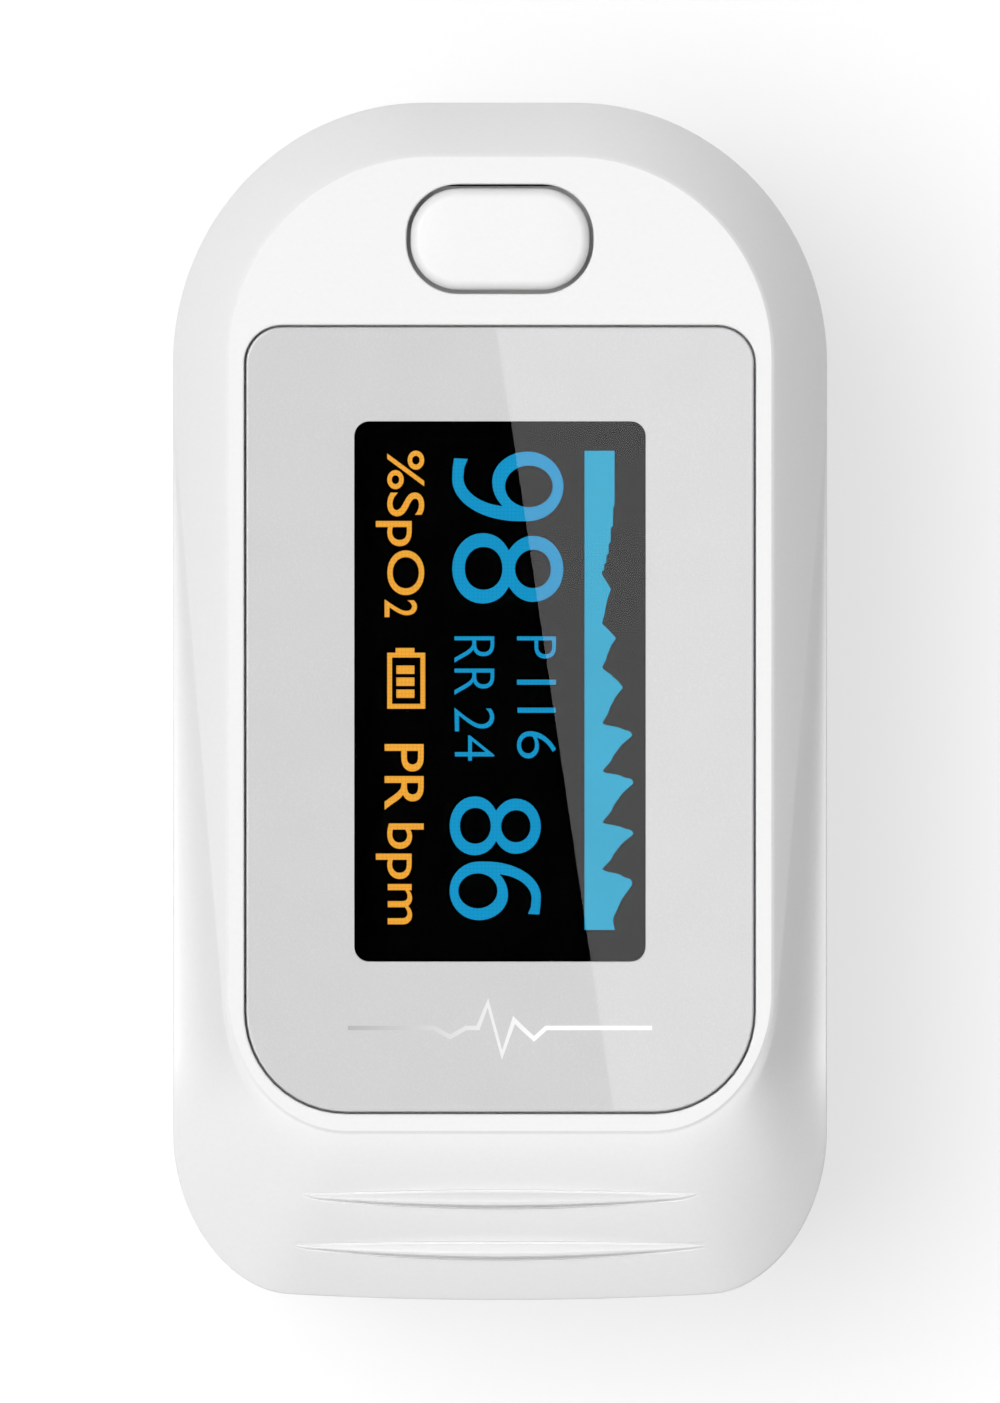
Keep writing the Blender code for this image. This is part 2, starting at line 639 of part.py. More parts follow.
def below_parting(sign, degrees):
    """The far side of the parting plane and of the notch's wall, as a cutter."""
    near = HALF_GAP * sign
    apex = radial(degrees, 2.0, sign)
    edge, far = radial(degrees, 17.6, sign), radial(degrees, 26.0, sign)
    points = [(40.0, near), (HINGE_Y + 2.0, near), apex, edge]
    if sign < 0:
        points += [(edge[0] - 0.55, edge[1] - 0.45), (edge[0] - 0.95, edge[1] - 1.2), (-36.0, -14.0)]
    points.append(far if sign > 0 else (-36.0, 0.0))
    points += [(far[0] - 2.0, -sign * 24.0), (40.0, -sign * 24.0)]
    return side_prism(points, -20, 20)


def add_upper_housing(finish, jaw):
    """The upper jaw's side walls, the notch's wall at the rear and the round hinge ears."""
    draft = 0.036
    rings = []
    for z in (-0.6, 4.0):
        rings.append(level(outline(inset(UPPER, (EDGE_Z - z) * draft)), z))
    seam = [edge_height(y) - SKIRT - 0.12 for x, y in outline(UPPER)]
    for by in (SKIRT * draft, 1.3, WALL + 1.0):
        rings.append([(x, y, z) for (x, y), z in zip(outline(inset(UPPER, by)), seam)])
    rings.append(level(outline(inset(UPPER, WALL + 1.2)), EDGE_Z - 2.0))
    housing = add_solid("upper_housing", loft(rings), finish, jaw)
    cut(housing, below_parting(1, UPPER_V_DEG), jaw)
    cut(housing, mouth_wall(1, 0.0), jaw)
    inside = [level(outline(inset(UPPER, WALL + (EDGE_Z - z) * draft)), z) for z in (-3.0, 12.0)]
    room = add_solid("tool.upper_room", loft(inside), None, jaw)
    cut(room, mouth_wall(1, WALL), jaw)
    far = radial(UPPER_V_DEG, 26.0, 1)
    wall = WALL / math.cos(math.radians(UPPER_V_DEG))
    floor = [(-11.0, 0.5), (-11.0, -6.0), (far[0], -6.0), (far[0], far[1] + wall)]
    floor += [(HINGE_Y - 5.5, radial(UPPER_V_DEG, 5.5, 1)[1] + wall), (HINGE_Y - 5.5, 0.5)]
    cut(room, side_prism(floor, -20, 20), jaw)
    hide_tool(room)
    crop_with(housing, room, "DIFFERENCE")
    cut(housing, cylinder_x(HINGE_Y, 0.0, BARREL_OUT + 0.3, -LUG_OUT - 0.25, LUG_OUT + 0.25, 32), jaw)
    add_ledge(housing, jaw)
    cut(housing, finger_arch(UPPER_DEPTH, 1), jaw)
    for side in (-1, 1):
        add_ear(housing, side, jaw)
    return housing


def hide_tool(tool):
    tool.hide_render = True
    tool.display_type = "WIRE"


def crop_with(obj, tool, operation):
    modifier = obj.modifiers.new(f"{operation.lower()}_{len(obj.modifiers)}", "BOOLEAN")
    modifier.operation = operation
    modifier.object = tool


def finger_arch(depth, sign):
    """The arch that the finger passes through in a jaw's front wall."""
    rings = []
    for y in (22.0, 32.0):
        curve = [(x, y, z) for x, _, z in trough_curve(25.0, 0.95, depth, sign, 16)]
        (x, _, _) = curve[-1]
        rings.append([(-x, y, -sign * 0.6), *curve, (x, y, -sign * 0.6)])
    return loft(rings)


def add_ledge(housing, jaw):
    """Four pads inside the upper side walls, clamped between the cradle and the cover's posts."""
    for side in (-1, 1):
        for y in SCREW_Y:
            x0, x1 = sorted((side * 10.4, side * 15.2))
            join(housing, box(x0, x1, y - 2.2, y + 2.2, 2.35, 3.15), jaw)
            cut(housing, cylinder_z(side * SCREW_X, y, 0.95, 2.0, 3.5, 12), jaw)


def add_ear(housing, side, jaw):
    """A round ear with a soft edge outside and a blind bore for the axle inside."""
    profile = [(EAR_R, EAR_IN), (EAR_R, EAR_OUT - 0.3), (EAR_R - 0.3, EAR_OUT)]
    ear = turned([(r, side * s) for r, s in profile], "X", (0, HINGE_Y, 0), 40)
    join(housing, ear, jaw)
    x0, x1 = sorted((side * (EAR_IN - 1.0), side * (AXLE_HALF + 0.1)))
    cut(housing, cylinder_x(HINGE_Y, 0.0, AXLE_R + 0.06, x0, x1, 20), jaw)


# ---------------------------------------------------------------- hinge
def add_hinge(finishes, lower_jaw):
    """The steel axle, two springs that pinch the jaws shut, and the cable that crosses the axis."""
    axle = [(0.7, -AXLE_HALF), (AXLE_R, 0.3 - AXLE_HALF), (AXLE_R, AXLE_HALF - 0.3), (0.7, AXLE_HALF)]
    add_solid("hinge_axle", turned(axle, "X", (0, HINGE_Y, 0), 20), finishes["steel"], lower_jaw)
    for side, name in ((-1, "left"), (1, "right")):
        add_wire(f"torsion_spring_{name}", spring_path(side), 0.3, finishes["steel"], lower_jaw)
    cable = [(5.0, -5.36), (-6.6, -5.18), (-8.6, -4.95), (-9.5, -4.2), (-9.9, -2.6), (-10.1, 0.0)]
    cable += [(-9.9, 2.6), (-9.6, 4.6), (-9.3, 6.4), (-9.2, 7.5)]
    add_solid("hinge_flex_cable", side_prism(ribbon(cable, 0.2), -3.2, 3.2), finishes["flex"], lower_jaw)


def spring_path(side):
    """A torsion spring: legs that reach forward above and below the two cradles, and its coil."""
    radius, turns, pitch, start = 1.75, 4, 0.85, 5.6
    per_turn = 12
    leg = ((HINGE_Y + 6.0, 1.68), (HINGE_Y + 3.0, 1.8))
    points = [(side * start, y, -z) for y, z in leg]
    for k in range(turns * per_turn + per_turn // 2 + 1):
        angle = -math.pi / 2 - 2 * math.pi * k / per_turn
        x = start + pitch * k / per_turn
        points.append((side * x, HINGE_Y + radius * math.cos(angle), radius * math.sin(angle)))
    end = start + pitch * (turns + 0.5)
    points += [(side * end, y, z) for y, z in reversed(leg)]
    return points


# ---------------------------------------------------------------- lower jaw
def lower_skin():
    """The lower jaw's outer shape: rounded under, widest low down, drafted to the parting plane."""
    rows = ((0.0, 1.7), (0.25, 1.0), (0.8, 0.4), (1.8, 0.08), (2.6, 0.0), (DRAFT_FROM_Z, 0.0))
    rings = [level(outline(inset(LOWER, d)), z) for z, d in rows]
    draft = (LOWER_SKIN_TOP - DRAFT_FROM_Z) * DRAFT_RATE
    rings.append(level(outline(inset(LOWER, draft)), LOWER_SKIN_TOP))
    return rings


def door_room():
    """The space the door takes from the housing, in level coordinates."""
    r = 2.1
    y0, top = DOOR_REAR_Y, DOOR_TOP_Z + FIT
    corner = arc(y0 + r, top - r, r, r, 180, 90, 5)
    return side_prism([(40.0, -2.0), (y0, -2.0), *corner, (40.0, top)], -20, 20)


def add_lower_housing(finish, jaw):
    """The lower jaw: rear foot, battery bay open below, deck, hinge lugs and barrel."""
    housing = add_solid("lower_housing", loft(lower_skin()), finish)
    cut(housing, below_parting(-1, LOWER_V_DEG), jaw)
    cut(housing, mouth_wall(-1, 0.0), jaw)
    core = loft([level(outline(inset(LOWER, DOOR_WALL + FIT)), z) for z in (1.35, 8.0)])
    sleeve = add_solid("tool.door_room", door_room(), None)
    hide_tool(sleeve)
    shape(sleeve, "DIFFERENCE", core)
    crop_with(housing, sleeve, "DIFFERENCE")
    cut_compartment(housing, jaw)
    cut_battery_bay(housing)
    cut(housing, finger_arch(LOWER_DEPTH, -1), jaw)
    for side in (-1, 1):
        x0, x1 = sorted((side * (EAR_IN - 0.15), side * 20.0))
        cut(housing, cylinder_x(HINGE_Y, 0.0, EAR_R + 0.22, x0, x1, 40), jaw)
        x0, x1 = sorted((side * LUG_IN, side * LUG_OUT))
        join(housing, cylinder_x(HINGE_Y, 0.0, 3.2, x0, x1), jaw)
        join(housing, box(x0, x1, HINGE_Y - 3.1, HINGE_Y + 3.1, -6.2, 0.0), jaw)
    join(housing, barrel(), jaw)
    cut(housing, cylinder_x(HINGE_Y, 0.0, AXLE_R + 0.06, -LUG_OUT - 0.1, LUG_OUT + 0.1, 20), jaw)
    for x in (-SCREW_X, SCREW_X):
        for y in SCREW_Y:
            join(housing, cylinder_z(x, y, 1.9, -6.0, -2.35), jaw)
            cut(housing, cylinder_z(x, y, 0.8, -5.9, -2.0, 12), jaw)
    return housing


def cut_compartment(housing, jaw):
    """The space between the deck over the cells and the finger cradle."""
    inside = [level(outline(inset(LOWER, WALL + d)), z) for z, d in ((DECK_TOP, 0.19), (26.0, 0.6))]
    room = add_solid("tool.lower_room", loft(inside), None)
    cut(room, mouth_wall(-1, WALL), jaw)
    wall = WALL / math.cos(math.radians(LOWER_V_DEG))
    start, far = radial(LOWER_V_DEG, 3.0, -1), radial(LOWER_V_DEG, 26.0, -1)
    roof = [(start[0], start[1] - wall), (far[0], far[1] - wall), (far[0], 9.0), (start[0], 9.0)]
    cut(room, side_prism(roof, -20, 20), jaw)
    hide_tool(room)
    crop_with(housing, room, "DIFFERENCE")


def cut_battery_bay(housing):
    """The bay for two cells, pockets that thin the side walls, and a wire room at the rear."""
    r = 2.4
    plan = [(-BAY_HALF, BAY_REAR), (BAY_HALF, BAY_REAR)]
    plan += arc(BAY_HALF - r, BAY_FRONT - r, r, r, 0, 90, 4)
    plan += arc(r - BAY_HALF, BAY_FRONT - r, r, r, 90, 180, 4)
    cut(housing, prism(plan, 1.15, BAY_TOP))
    under = [(x, max(y, DOOR_REAR_Y + 0.4)) for x, y in plan]
    cut(housing, prism(under, -1.0, 2.0))
    for side in (-1, 1):
        for y0 in (-14.5, 1.5):
            x0, x1 = sorted((side * 12.0, side * 13.6))
            cut(housing, box(x0, x1, y0, y0 + 14.0, -1.0, 11.0))
    cut(housing, box(-4.0, 4.0, SENSOR_Y - 5.2, SENSOR_Y + 5.2, BAY_TOP - 1.0, DECK_TOP + 1.0))
    cut(housing, box(-11.5, 11.5, -27.6, BAY_REAR - 1.2, 1.3, 10.2))
    cut(housing, box(-1.2, 1.2, -26.0, BAY_REAR + 1.0, 4.0, 9.0))
    for side in (-1, 1):
        x0, x1 = sorted((side * 4.6, side * 5.8))
        cut(housing, box(x0, x1, -23.25, -20.1, BAY_TOP - 0.5, DECK_TOP + 0.8))
    cut(housing, box(-LATCH_HALF - 0.3, LATCH_HALF + 0.3, BAY_FRONT - 1.0, FRONT_Y, 1.0, LATCH_TOP + 0.25))
    for side in (-1, 1):
        x0, x1 = sorted((side * 14.3, side * 15.4))
        cut(housing, box(x0, x1, DOOR_REAR_Y - 0.2, 24.0, 2.9, 4.2))


def barrel():
    """Part of a tube round the axis that closes the notch while the jaws turn."""
    outer = [radial(d, BARREL_OUT, 1) for d in range(-52, 58, 9)]
    inner = [radial(d, BARREL_IN, 1) for d in range(-52, 58, 9)]
    return side_prism(outer + inner[::-1], -LUG_IN - 0.4, LUG_IN + 0.4)


# ---------------------------------------------------------------- battery door
def add_battery_door(finish):
    """A tray that slides off towards the finger end, with a label recess, arrow and thumb grip."""
    door = add_solid("battery_door", loft(lower_skin()), finish)
    shape(door, "INTERSECT", door_shape())
    inside = loft([level(outline(inset(LOWER, DOOR_WALL)), z) for z in (1.2, 9.0)])
    cut(door, inside)
    for side in (-1, 1):
        x0, x1 = sorted((side * 14.55, side * 15.4))
        join(door, box(x0, x1, -13.5, 12.5, 3.2, 3.9))
    latch = (-LATCH_HALF, LATCH_HALF)
    join(door, box(*latch, DOOR_REAR_Y - 1.6, DOOR_REAR_Y + 2.0, 1.32, LATCH_TOP))
    join(door, box(*latch, DOOR_REAR_Y + 0.6, DOOR_REAR_Y + 2.0, 0.8, LATCH_TOP))
    width, length, mid, depth = LABEL
    cut(door, prism(rounded_rectangle(width, length, 1.2, mid, 3), -1.0, depth))
    cut(door, loft([level(arc(0, ARROW_MID, *half, 0, 345, 23), z) for half, z in ARROW_DISH]))
    join(door, prism(ARROW, 0.0, DOOR_WALL / 2))
    scoop = arc(0, SCOOP_Y, SCOOP_R, SCOOP_R, 0, 348, 29)
    cut(door, loft([level(scoop, -1.0), [(x, y, scoop_depth(y)) for x, y in scoop]]))
    for width, y in THUMB_BARS:
        join(door, prism(rounded_rectangle(width, 0.9, 0.42, y, 3), 0.0, DOOR_WALL / 2))
    return door


def scoop_depth(y):
    """The thumb scoop starts flush at the door's rear edge and deepens towards its round wall."""
    return SCOOP_DEPTH * (y - DOOR_REAR_Y) / (SCOOP_Y + SCOOP_R - DOOR_REAR_Y)


def door_shape():
    """The door's share of the lower jaw, with round upper corners at its rear."""
    r = 2.1 - FIT
    y0 = DOOR_REAR_Y + FIT
    corner = arc(y0 + r, DOOR_TOP_Z - r, r, r, 180, 90, 5)
    return side_prism([(40.0, -2.0), (y0, -2.0), *corner, (40.0, DOOR_TOP_Z)], -20, 20)


# ---------------------------------------------------------------- cells and contacts
def add_cells(finishes):
    """Two AAA cells lying side by side, head to tail, with sprung contacts at their flat ends."""
    for side, name, low in ((-1, "left", -19.2), (1, "right", 21.6)):
        way = -side
        profile = [(4.9, 0.0), (CELL_R, 0.3), (CELL_R, 43.2), (4.9, 43.5), (1.9, 43.5), (1.9, 44.3)]
        bm = turned([(r, low + way * s) for r, s in profile], "Y", (side * CELL_X, 0, CELL_Z), ROUND)
        add_solid(f"battery_{name}", bm, finishes["cell"])
        add_wire(f"battery_spring_{name}", cone_spring(side, low, way), 0.28, finishes["nickel"])
    add_solid("contact_bridge_front", box(-9.4, 9.4, 25.25, 25.6, 2.6, 10.8), finishes["nickel"])
    for side, name in ((-1, "negative"), (1, "positive")):
        x0, x1 = sorted((side * 1.6, side * 9.6))
        plate = box(x0, x1, BAY_REAR + 0.1, BAY_REAR + 0.45, 2.6, 10.8)
        add_solid(f"contact_plate_{name}", plate, finishes["nickel"])
        x = side * 5.2
        wire = [(x, -22.95, 11.1), (x, -22.75, 12.4), (x, -21.9, 12.8), (x, -20.3, 13.15)]
        wire += [(x * 0.95, -16.0, 13.2), (side * 3.9, -12.0, 13.25), (side * 3.6, -8.6, 13.3)]
        add_wire(f"battery_lead_{name}", wire, 0.22, finishes["insulation"])


def cone_spring(side, low, way):
    """A coil that narrows from its contact plate to the cell's flat end."""
    turns, per_turn, wide, narrow = 3, 12, 3.4, 1.7
    base = {-1: BAY_REAR + 0.85, 1: 24.85}[side]
    tip = low - way * 0.4
    points = []
    for k in range(turns * per_turn + 1):
        share = k / (turns * per_turn)
        radius = wide + (narrow - wide) * share
        angle = 2 * math.pi * k / per_turn
        x = side * CELL_X + radius * math.cos(angle)
        points.append((x, base + (tip - base) * share, CELL_Z + radius * math.sin(angle)))
    return points


# ---------------------------------------------------------------- the whole object
def main():
    for old in list(bpy.data.objects):
        bpy.data.objects.remove(old)
    finishes = make_materials()
    hinge = (0.0, HINGE_Y, HINGE_Z)
    upper_jaw = add_empty("upper_jaw_axis", hinge, RAKE_DEG)
    lower_jaw = add_empty("parting_plane", hinge, RAKE_DEG)
    add_top_cover(finishes["cover"], upper_jaw)
    add_display(finishes, upper_jaw)
    add_board(finishes, upper_jaw)
    add_button(finishes, upper_jaw)
    add_upper_housing(finishes["shell"], upper_jaw)
    add_finger_parts("upper", UPPER, UPPER_DEPTH, 1, finishes, upper_jaw)
    add_finger_parts("lower", LOWER, LOWER_DEPTH, -1, finishes, lower_jaw)
    add_screws(finishes["steel"], upper_jaw, lower_jaw)
    add_hinge(finishes, lower_jaw)
    add_lower_housing(finishes["shell"], lower_jaw)
    add_battery_door(finishes["cover"])
    add_cells(finishes)


main()
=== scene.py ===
"""The looks of the fingertip pulse oximeter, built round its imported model.

The covers, housings, door, lens, button, rubber linings, springs, cable, screws and cells are made
again here with fine, softened surfaces and stand for their CAD nodes. Every other node keeps its CAD
shape and gets a node material. Shapes are worked out in millimetres with the part's own rules and
become metres in settle(). Those of the upper jaw count Z from the parting plane, which passes
through the hinge axis and rises towards the finger end.
"""

import json
import math
from collections import namedtuple

import bmesh
import bpy
from mathutils import Matrix, Vector

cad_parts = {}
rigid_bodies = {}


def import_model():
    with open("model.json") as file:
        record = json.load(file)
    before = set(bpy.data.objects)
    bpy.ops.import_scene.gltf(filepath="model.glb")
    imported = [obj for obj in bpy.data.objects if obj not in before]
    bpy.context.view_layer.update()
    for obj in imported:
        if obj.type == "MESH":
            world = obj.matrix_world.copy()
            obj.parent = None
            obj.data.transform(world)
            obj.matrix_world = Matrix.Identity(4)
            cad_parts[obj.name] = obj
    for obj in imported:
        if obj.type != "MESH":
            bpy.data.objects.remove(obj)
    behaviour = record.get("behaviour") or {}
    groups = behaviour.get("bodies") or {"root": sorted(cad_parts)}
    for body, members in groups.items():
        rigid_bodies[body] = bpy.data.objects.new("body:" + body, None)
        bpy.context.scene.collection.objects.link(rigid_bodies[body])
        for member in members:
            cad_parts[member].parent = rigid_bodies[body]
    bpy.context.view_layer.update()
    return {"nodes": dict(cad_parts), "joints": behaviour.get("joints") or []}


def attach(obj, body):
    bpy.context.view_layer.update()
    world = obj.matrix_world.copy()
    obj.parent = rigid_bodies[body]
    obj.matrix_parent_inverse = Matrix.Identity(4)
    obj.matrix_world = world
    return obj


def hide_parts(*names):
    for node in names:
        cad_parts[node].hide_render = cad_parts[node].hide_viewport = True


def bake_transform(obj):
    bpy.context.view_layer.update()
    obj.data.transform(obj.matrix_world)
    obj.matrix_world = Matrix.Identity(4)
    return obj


for old in list(bpy.data.objects):
    bpy.data.objects.remove(old)
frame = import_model()
NODES = frame["nodes"]

# ---------------------------------------------------------------- driving dimensions, in millimetres
MM = 0.001
JAW_JOINT = next(joint for joint in frame["joints"] if joint["name"] == "jaw_hinge")
HINGE_Y, HINGE_Z = (JAW_JOINT["pos_m"][axis] / MM for axis in (1, 2))
RAKE_DEG = 0.85
HALF_GAP = 0.15
FIT = 0.15
WALL = 1.4
FRONT_Y = 30.0

EDGE_Z = 9.35
SKIRT = 1.15
TOP_Z = 13.9
CEILING_Z = 11.9
MOUTH_DEPTH = 4.6
MOUTH_RISE = 4.1
UPPER_V_DEG = 19.05
LOWER_V_DEG = 20.5

EAR_R = 6.35
EAR_IN, EAR_OUT = 14.4, 16.38
AXLE_R = 1.0
AXLE_HALF = 15.6
BARREL_IN, BARREL_OUT = 4.5, 5.3
LUG_IN, LUG_OUT = 12.4, 14.1

DOOR_REAR_Y = -17.4
DOOR_TOP_Z = 5.2
DOOR_WALL = 1.1
LATCH_HALF, LATCH_TOP = 1.6, 2.1
LABEL = (24.7, 17.0, 9.57, 0.25)  # width, length, middle in Y, depth
ARROW = ((-1.2, -9.8), (1.2, -9.8), (1.2, -6.5), (2.6, -6.5), (0.0, -3.7), (-2.6, -6.5), (-1.2, -6.5))
ARROW_MID = -6.75
SCOOP_R, SCOOP_Y, SCOOP_DEPTH = 4.7, -15.9, 0.6
THUMB_BARS = ((4.6, -13.2), (7.2, -15.4))  # width, place in Y
BAY_HALF, BAY_FRONT, BAY_REAR, BAY_TOP = 11.0, 25.75, -23.3, 12.15
DECK_TOP = 12.9

LENS = (25.35, 39.2, -0.7)  # width, length, middle in Y
LENS_TOP, LENS_LOW = 13.87, 12.75
WINDOW = (14.56, 27.0, 0.7)
BUTTON = (8.94, 5.07, 23.3)
PCB_TOP = 9.15
SWITCH_TOP = 10.55
PANEL_TOP = 11.7
SCREW_X = 12.2
SCREW_Y = (18.0, -3.0)
BOARD_SCREWS = ((0.0, -19.4), (-7.6, 19.4), (7.6, 19.4))
RIBS = ((0.61, 10.0), (0.3, 10.3))  # share of the way up the sloping rear, and half width
BULGE = 0.2  # how far the sloping band swells over a straight slope
REAR_CURVE = 1.45  # 1 would make the sloping rear straight
TROUGH_END, TROUGH_FRONT = -5.6, 28.3
LINING_BEND = 22.0  # in front of this the lining's edges draw back to the chamfer
SENSOR_Y = 10.0
UPPER_DEPTH, LOWER_DEPTH = 4.0, 3.3

Plan = namedtuple("Plan", "half front rear front_a front_b rear_a rear_b bow")
RAKE_SHIFT = 0.14
UPPER = Plan(16.4, FRONT_Y + RAKE_SHIFT, RAKE_SHIFT - 29.3, 12.6, 13.1, 5.8, 7.8, 0.7)
ISLAND = Plan(13.7, FRONT_Y - 2.45, -21.4, 10.2, 10.2, 6.1, 7.1, 0.0)
LOWER = Plan(16.15, FRONT_Y, -28.7, 12.4, 13.0, 5.8, 7.2, 0.7)
SIDE_END = -14.7
SEGMENTS = {"front": 8, "front_corner": 34, "side": 44, "rear_corner": 34, "rear": 16}
FINE = {"front": 1, "front_corner": 2, "side": 1, "rear_corner": 60, "rear": 40}

JAW = (
    Matrix.Translation((0, HINGE_Y, HINGE_Z))
    @ Matrix.Rotation(math.radians(RAKE_DEG), 4, "X")
    @ Matrix.Translation((0, -HINGE_Y, 0))
)
LEVEL = Matrix.Identity(4)


# ---------------------------------------------------------------- outlines
def inset(plan, by):
    """The same outline, moved inwards by this much."""
    return Plan(
        plan.half - by,
        plan.front - by,
        plan.rear + by,
        plan.front_a - by,
        plan.front_b - by,
        max(plan.rear_a - by, 0.8),
        max(plan.rear_b - by, 0.8),
        plan.bow,
    )


def span(path, count, head=0.0, tail=0.0):
    """count + 1 evenly spaced points along a path, less this length at its head and tail."""
    steps = [0.0]
    for a, b in zip(path, path[1:]):
        steps.append(steps[-1] + math.dist(a, b))
    total = steps[-1]
    head, tail = min(head, total * 0.4), min(tail, total * 0.4)
    points = []
    i = 0
    for k in range(count + 1):
        reach = head + (total - head - tail) * k / count
        while i < len(path) - 2 and steps[i + 1] < reach:
            i += 1
        share = (reach - steps[i]) / max(steps[i + 1] - steps[i], 1e-9)
        points.append(tuple(a + (b - a) * share for a, b in zip(path[i], path[i + 1])))
    return points


def arc(cx, cy, a, b, start, end, count):
    """Points of an ellipse's arc, in degrees from +X."""
    turns = [math.radians(start + (end - start) * k / count) for k in range(count + 1)]
    return [(cx + a * math.cos(t), cy + b * math.sin(t)) for t in turns]


def right_half(plan, segments):
    """The outline's right half, from the middle of the finger end to the middle of the rear."""
    flat = plan.half - plan.front_a
    shoulder = plan.front - plan.front_b
    heel = plan.rear + plan.rear_b
    tail = plan.half - plan.rear_a
    side_end = max(SIDE_END, heel)
    dense = 96
    parts = (
        ("front", [(0.0, plan.front), (flat, plan.front)]),
        ("front_corner", arc(flat, shoulder, plan.front_a, plan.front_b, 90, 0, dense)),
        ("side", [(plan.half, shoulder), (plan.half, side_end)]),
        (
            "rear_corner",
            [(plan.half, side_end)]
            + arc(tail, heel, plan.rear_a, plan.rear_b, 0, -90, dense),
        ),
        ("rear", [(tail, plan.rear), (0.0, plan.rear)]),
    )
    points = []
    for name, path in parts:
        points += span(path, segments[name])[:-1]
    points.append((0.0, plan.rear))
    bowed = []
    for x, y in points:
        depth = max(0.0, (heel - y) / plan.rear_b)
        bowed.append((x, y - plan.bow * depth**2 * (1 - (x / plan.half) ** 2)))
    return bowed


def outline(plan, segments=None):
    """The whole closed outline, anticlockwise seen from above."""
    half = right_half(plan, segments or SEGMENTS)
    return [(-x, y) for x, y in half] + [(x, y) for x, y in reversed(half[1:-1])]


def rounded_rectangle(width, length, radius, mid_y, steps=12):
    """A rectangle with round corners, anticlockwise."""
    w, h = width / 2 - radius, length / 2 - radius
    points = []
    for k, (sx, sy) in enumerate(((1, 1), (-1, 1), (-1, -1), (1, -1))):
        points += arc(sx * w, mid_y + sy * h, radius, radius, 90 * k, 90 * k + 90, steps)
    return points


def lens_outline(grow, steps=12):
    """The lens has small corners near the button and large ones at the rear."""
    w, length, mid = LENS
    half, small, large = w / 2 + grow, 1.8 + grow, 5.0 + grow
    top, low = mid + length / 2 + grow, mid - length / 2 - grow
    points = arc(half - small, top - small, small, small, 0, 90, steps)
    points += arc(small - half, top - small, small, small, 90, 180, steps)
    points += arc(large - half, low + large, large, large, 180, 270, steps)
    points += arc(half - large, low + large, large, large, 270, 360, steps)
    return points


def button_outline(grow):
    w, length, mid = BUTTON
    return rounded_rectangle(w + 2 * grow, length + 2 * grow, 2.38 + grow, mid)


# ---------------------------------------------------------------- the top cover's sloping band
def edge_height(y):
    """The ridge rises a little at the finger end and at the rear corners."""
    front = max(0.0, (y - 14.0) / 16.0)
    rear = max(0.0, (-26.0 - y) / 4.0)
    return EDGE_Z + 1.1 * front**2 + 0.65 * rear**2


def crease_share(y):
    """How far up the band the crease has climbed: none near the front, nearly all at the rear."""
    return min(0.92, max(0.0, (14.6 - y) / 32.1))


def rear_share(y):
    """How much of the band's shape here is the sloping rear's."""
    share = min(1.0, max(0.0, (-17.0 - y) / 9.0))
    return share * share * (3 - 2 * share)


def band_middle(y):
    """The share of the band where the crease runs."""
    middle = max(0.16, crease_share(y))
    return middle + (0.5 - middle) * rear_share(y)


def band_height(y_edge, t):
    """Height of the band at share t of the way from the ridge to the flat rim."""
    low = edge_height(y_edge)
    rise = TOP_Z - 0.1 - low
    bevel = t + BULGE * t * (1 - t)
    crease = crease_share(y_edge)
    if t < crease:
        at_crease = crease + BULGE * crease * (1 - crease)
        bevel = at_crease * (t / crease) ** 2.2
    slope = 1 - (1 - t) ** REAR_CURVE
    return low + rise * (bevel + (slope - bevel) * rear_share(y_edge))


def band_point(edge, island, t):
    (xa, ya), (xb, yb) = edge, island
    return (xa + (xb - xa) * t, ya + (yb - ya) * t, band_height(ya, t))


def band_ring(s, segments):
    """A ring of the band, where s = 0.5 runs along the crease."""
    ring = []
    for edge, island in zip(outline(UPPER, segments), outline(ISLAND, segments)):
        middle = band_middle(edge[1])
        t = middle * s * 2 if s < 0.5 else middle + (1 - middle) * (s * 2 - 1)
        ring.append(band_point(edge, island, t))
    return ring


# ---------------------------------------------------------------- solids, as bmesh in millimetres
def loft(rings):
    """Skins rings of equal length and caps the first and the last."""
    bm = bmesh.new()
    rows = [[bm.verts.new(p) for p in ring] for ring in rings]
    count = len(rows[0])
    for low, high in zip(rows, rows[1:]):
        for k in range(count):
            n = (k + 1) % count
            bm.faces.new((low[k], low[n], high[n], high[k]))
    bm.faces.new(rows[0][::-1])
    bm.faces.new(rows[-1])
    bmesh.ops.recalc_face_normals(bm, faces=bm.faces)
    return bm


def level(points, z):
    return [(x, y, z) for x, y in points]


def prism(points, low, high):
    return loft([level(points, low), level(points, high)])


def side_prism(points, x0, x1):
    """Extrudes a (Y, Z) polygon across X."""
    return loft([[(x, y, z) for y, z in points] for x in (x0, x1)])


def box(x0, x1, y0, y1, z0, z1):
    return prism([(x0, y0), (x1, y0), (x1, y1), (x0, y1)], z0, z1)


def turned(profile, axis, at=(0.0, 0.0, 0.0), count=64):
    """A turned solid: profile is (radius, place along the axis), axis is X, Y or Z."""
    rings = []
    for radius, s in profile:
        ring = []
        for c, n in arc(0, 0, radius, radius, 0, 360 * (count - 1) / count, count - 1):
            spot = {"X": (s, c, n), "Y": (c, s, n), "Z": (c, n, s)}[axis]
            ring.append([spot[i] + at[i] for i in range(3)])
        rings.append(ring)
    return loft(rings)


def cylinder_x(y, z, radius, x0, x1, count=64):
    return turned([(radius, x0), (radius, x1)], "X", (0, y, z), count)


def cylinder_z(x, y, radius, z0, z1, count=32):
    return turned([(radius, z0), (radius, z1)], "Z", (x, y, 0), count)


